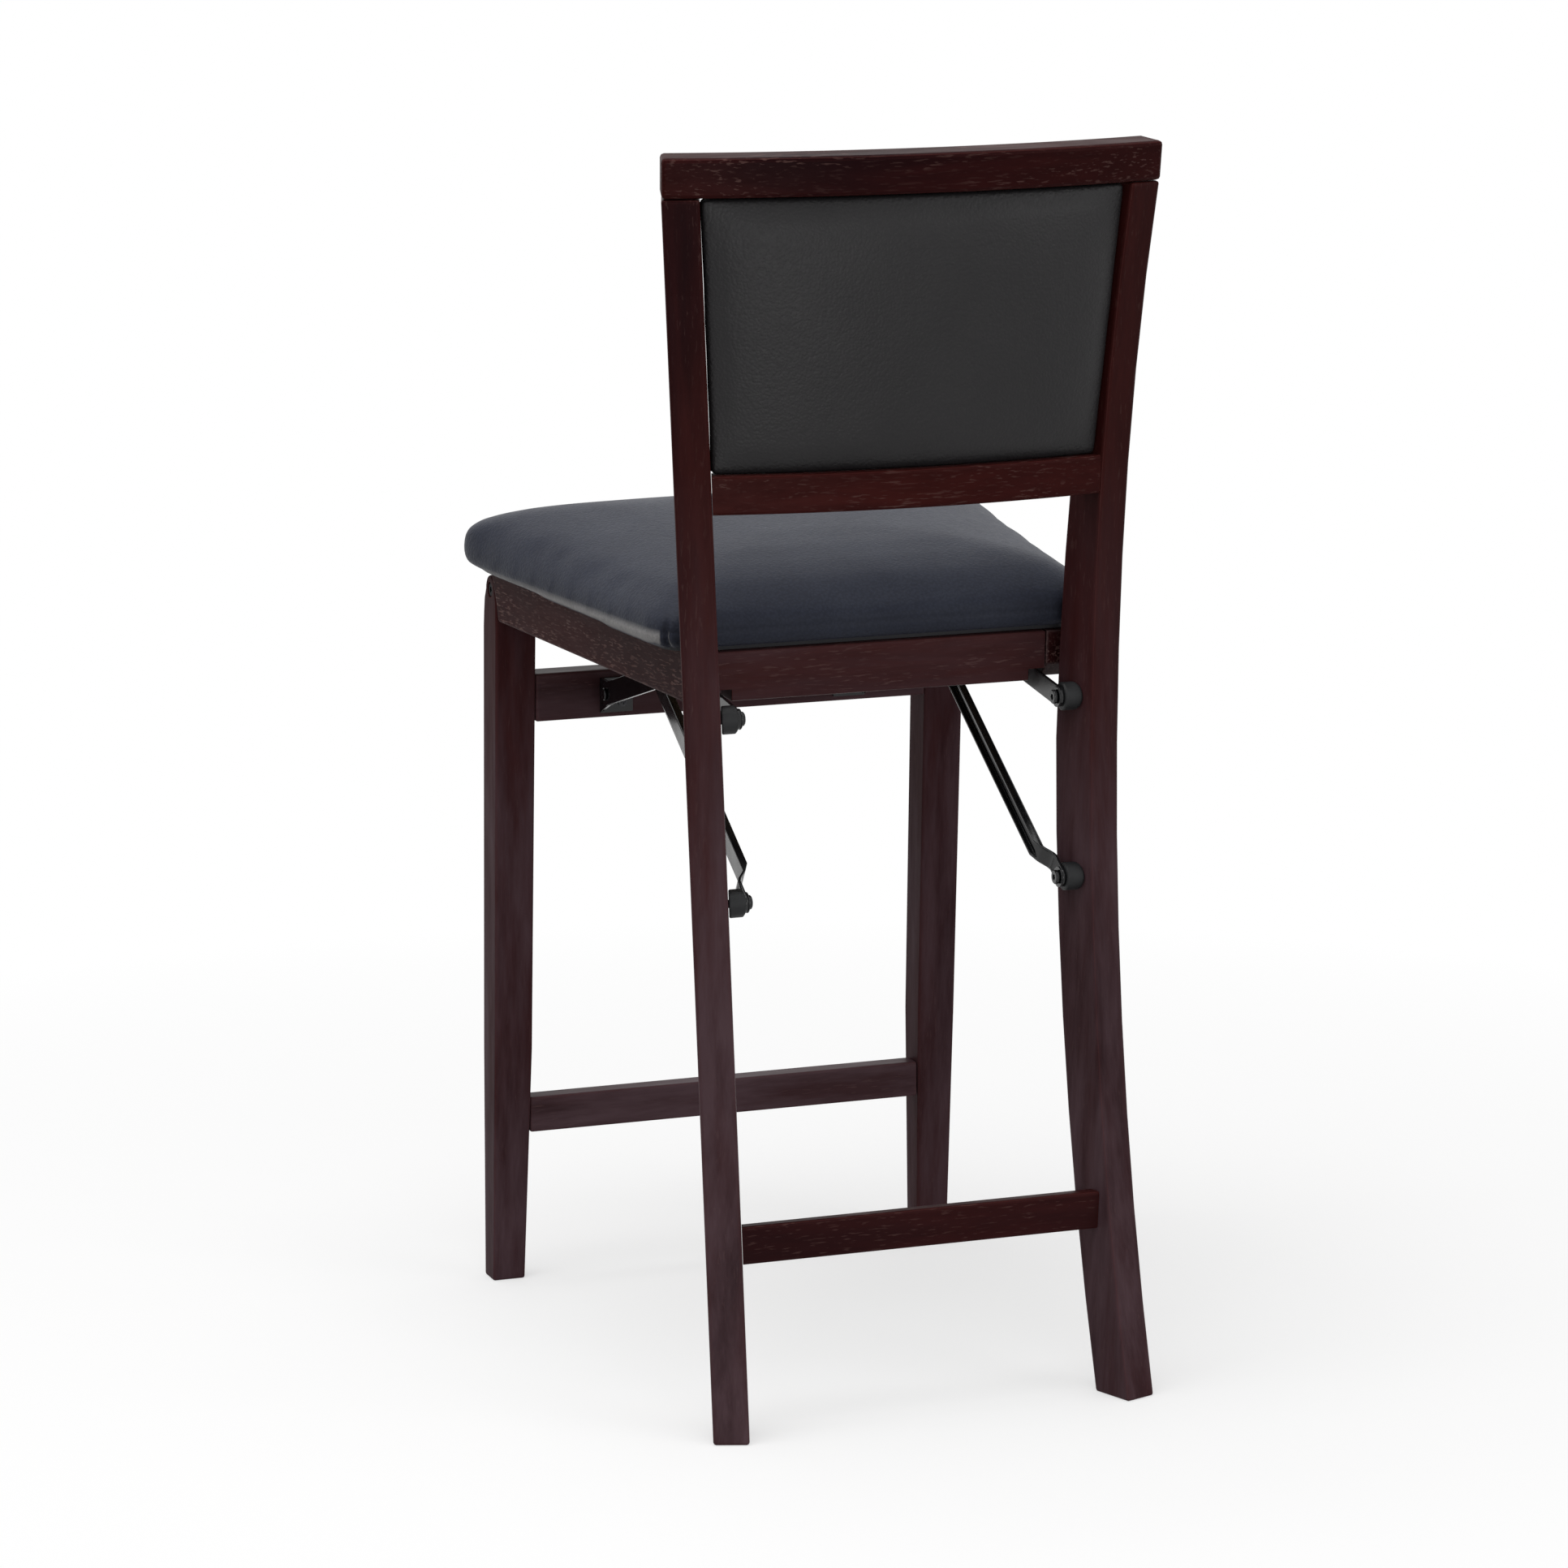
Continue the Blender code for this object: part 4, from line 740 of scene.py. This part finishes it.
def meet_posts(pad, node, most):
    solid = [v.co for v in nodes[node].data.vertices]
    skin = [v.co.copy() for v in pad.data.vertices]
    spacing = (pad_high.z - pad_low.z) / belts
    levels = [pad_low.z + spacing * (k + 0.5) for k in range(belts)]
    shares = {}
    for way in (-1.0, 1.0):
        shares[way] = []
        for level in levels:
            wanted = max(p.x * way for p in solid if abs(p.z - level) < belt_reach)
            wanted += stand_out(level, most)
            reached = max(p.x * way for p in skin if abs(p.z - level) < belt_reach)
            shares[way].append(wanted / reached)
        row = shares[way]
        near = [row[max(k - 1, 0):k + 2] for k in range(belts)]
        shares[way] = [sum(part) / len(part) for part in near]
    for vertex in pad.data.vertices:
        row = shares[1.0 if vertex.co.x > 0.0 else -1.0]
        place = min(max((vertex.co.z - levels[0]) / spacing, 0.0), belts - 1.001)
        first = int(place)
        part = place - first
        vertex.co.x *= row[first] * (1.0 - part) + row[first + 1] * part


# The swell is held along the tucked edges and free from a fifth of the way in
tucked_parts = 5.0


def pad_hold(point):
    side = 1.0 - abs(point.x - pad_middle.x) / (pad_high.x - pad_middle.x)
    end = 1.0 - abs(point.z - pad_middle.z) / (pad_high.z - pad_middle.z)
    return min(1.0, max(0.0, min(side, end) * tucked_parts))


pad_pressure = 3.0
pad_swell = 0.0015
pad_rounds = 2
for node, name, pad_over in (("back_pad_rear", "back_pad_rear_skin", 0.0022),
                             ("back_pad_front", "back_pad_front_skin", 0.0037)):
    pad = soft_copy(node, name, 0.0003)
    bpy.ops.object.mode_set(mode="EDIT")
    bpy.ops.mesh.tris_convert_to_quads()
    bpy.ops.mesh.subdivide(number_cuts=2, smoothness=0.0)
    bpy.ops.object.mode_set(mode="OBJECT")
    blow_up(pad, pad_pressure, pad_swell, pad_hold)
    finish_soft(pad, back_vinyl, pad_rounds)
    refit(pad, node, (2,))
    meet_posts(pad, node, pad_over)
    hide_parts(node)
    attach(pad, "back_frame")
finish_nodes(["back_pad_board"], back_vinyl)


# Floor and light
# A white sweep under soft light from above and from both sides. Away from the stool the
# sweep glows evenly, so that it meets the white background without a line.
floor_radius = 14.0
glow_start = 0.45
glow_full = 1.50
near_glow = 0.55
bpy.ops.mesh.primitive_circle_add(vertices=96, radius=floor_radius, fill_type="NGON",
                                  location=(0.0, 0.0, 0.0))
floor = bpy.context.object
floor.name = "floor"
floor_paint, floor_shader = new_material("floor_paint")
floor_tree = floor_paint.node_tree
floor_place = add_node(floor_tree, "TexCoord")
floor_reach = add_node(floor_tree, "VectorMath", operation="LENGTH")
floor_tree.links.new(floor_place.outputs["Object"], floor_reach.inputs[0])
floor_far = window(floor_tree, floor_reach.outputs["Value"], glow_start, glow_full)
floor_glow = math_node(floor_tree, "MULTIPLY_ADD", floor_far, 1.0 - near_glow, near_glow)
floor_dull = math_node(floor_tree, "SUBTRACT", 1.0, floor_glow)
floor_tint = add_node(floor_tree, "CombineColor")
for channel in ("Red", "Green", "Blue"):
    floor_tree.links.new(floor_dull, floor_tint.inputs[channel])
floor_tree.links.new(floor_tint.outputs["Color"], floor_shader.inputs["Base Color"])
floor_shader.inputs["Roughness"].default_value = 1.0
floor_shader.inputs["Specular IOR Level"].default_value = 0.0
floor_path = add_node(floor_tree, "LightPath")
floor_seen = math_node(floor_tree, "MAXIMUM", floor_path.outputs["Is Camera Ray"],
                       floor_path.outputs["Is Glossy Ray"])
floor_shader.inputs["Emission Color"].default_value = (1.0, 1.0, 1.0, 1.0)
floor_tree.links.new(math_node(floor_tree, "MULTIPLY", floor_glow, floor_seen),
                     floor_shader.inputs["Emission Strength"])
floor.data.materials.append(floor_paint)

world_light = 0.45
world = bpy.data.worlds.new("studio")
bpy.context.scene.world = world
world.use_nodes = True
sky = world.node_tree
ground = sky.nodes["Background"]
ground.inputs["Color"].default_value = (1.0, 1.0, 1.0, 1.0)
path = add_node(sky, "LightPath")
seen = math_node(sky, "MAXIMUM", path.outputs["Is Camera Ray"], path.outputs["Is Glossy Ray"])
seen = math_node(sky, "MAXIMUM", seen, path.outputs["Is Transmission Ray"])
strength = math_node(sky, "MULTIPLY_ADD", seen, 1.0 - world_light, world_light)
sky.links.new(strength, ground.inputs["Strength"])


def soft_light(name, place, size, power, target):
    bpy.ops.object.light_add(type="AREA", location=place)
    lamp = bpy.context.object
    lamp.name = name
    lamp.data.size = size
    lamp.data.energy = power
    lamp.rotation_euler = (Vector(target) - Vector(place)).to_track_quat("-Z", "Y").to_euler()


at_middle = (0.0, 0.0, 0.5)
at_legs = (0.0, 0.0, 0.25)
soft_light("top_light", (0.5, 0.2, 2.9), size=2.0, power=41.0, target=at_middle)
soft_light("left_light", (2.0, 0.3, 2.5), size=1.6, power=8.0, target=at_middle)
soft_light("low_light", (0.4, 2.9, 0.35), size=1.2, power=18.0, target=at_legs)
soft_light("right_light", (-2.2, 2.4, 1.6), size=1.6, power=14.0, target=at_middle)


# Camera
# Where the photograph was taken from: behind the stool to its left, looking a little down
# on the crest rail, with a long lens.
bpy.ops.object.camera_add(location=(1.6778, 4.4003, 1.4231),
                          rotation=(radians(78.38), 0.0, radians(159.49)))
camera = bpy.context.object
camera.data.sensor_width = 36.0
camera.data.lens = 138.29
camera.data.clip_end = 50.0
bpy.context.scene.camera = camera
bpy.context.scene.view_settings.view_transform = "Standard"
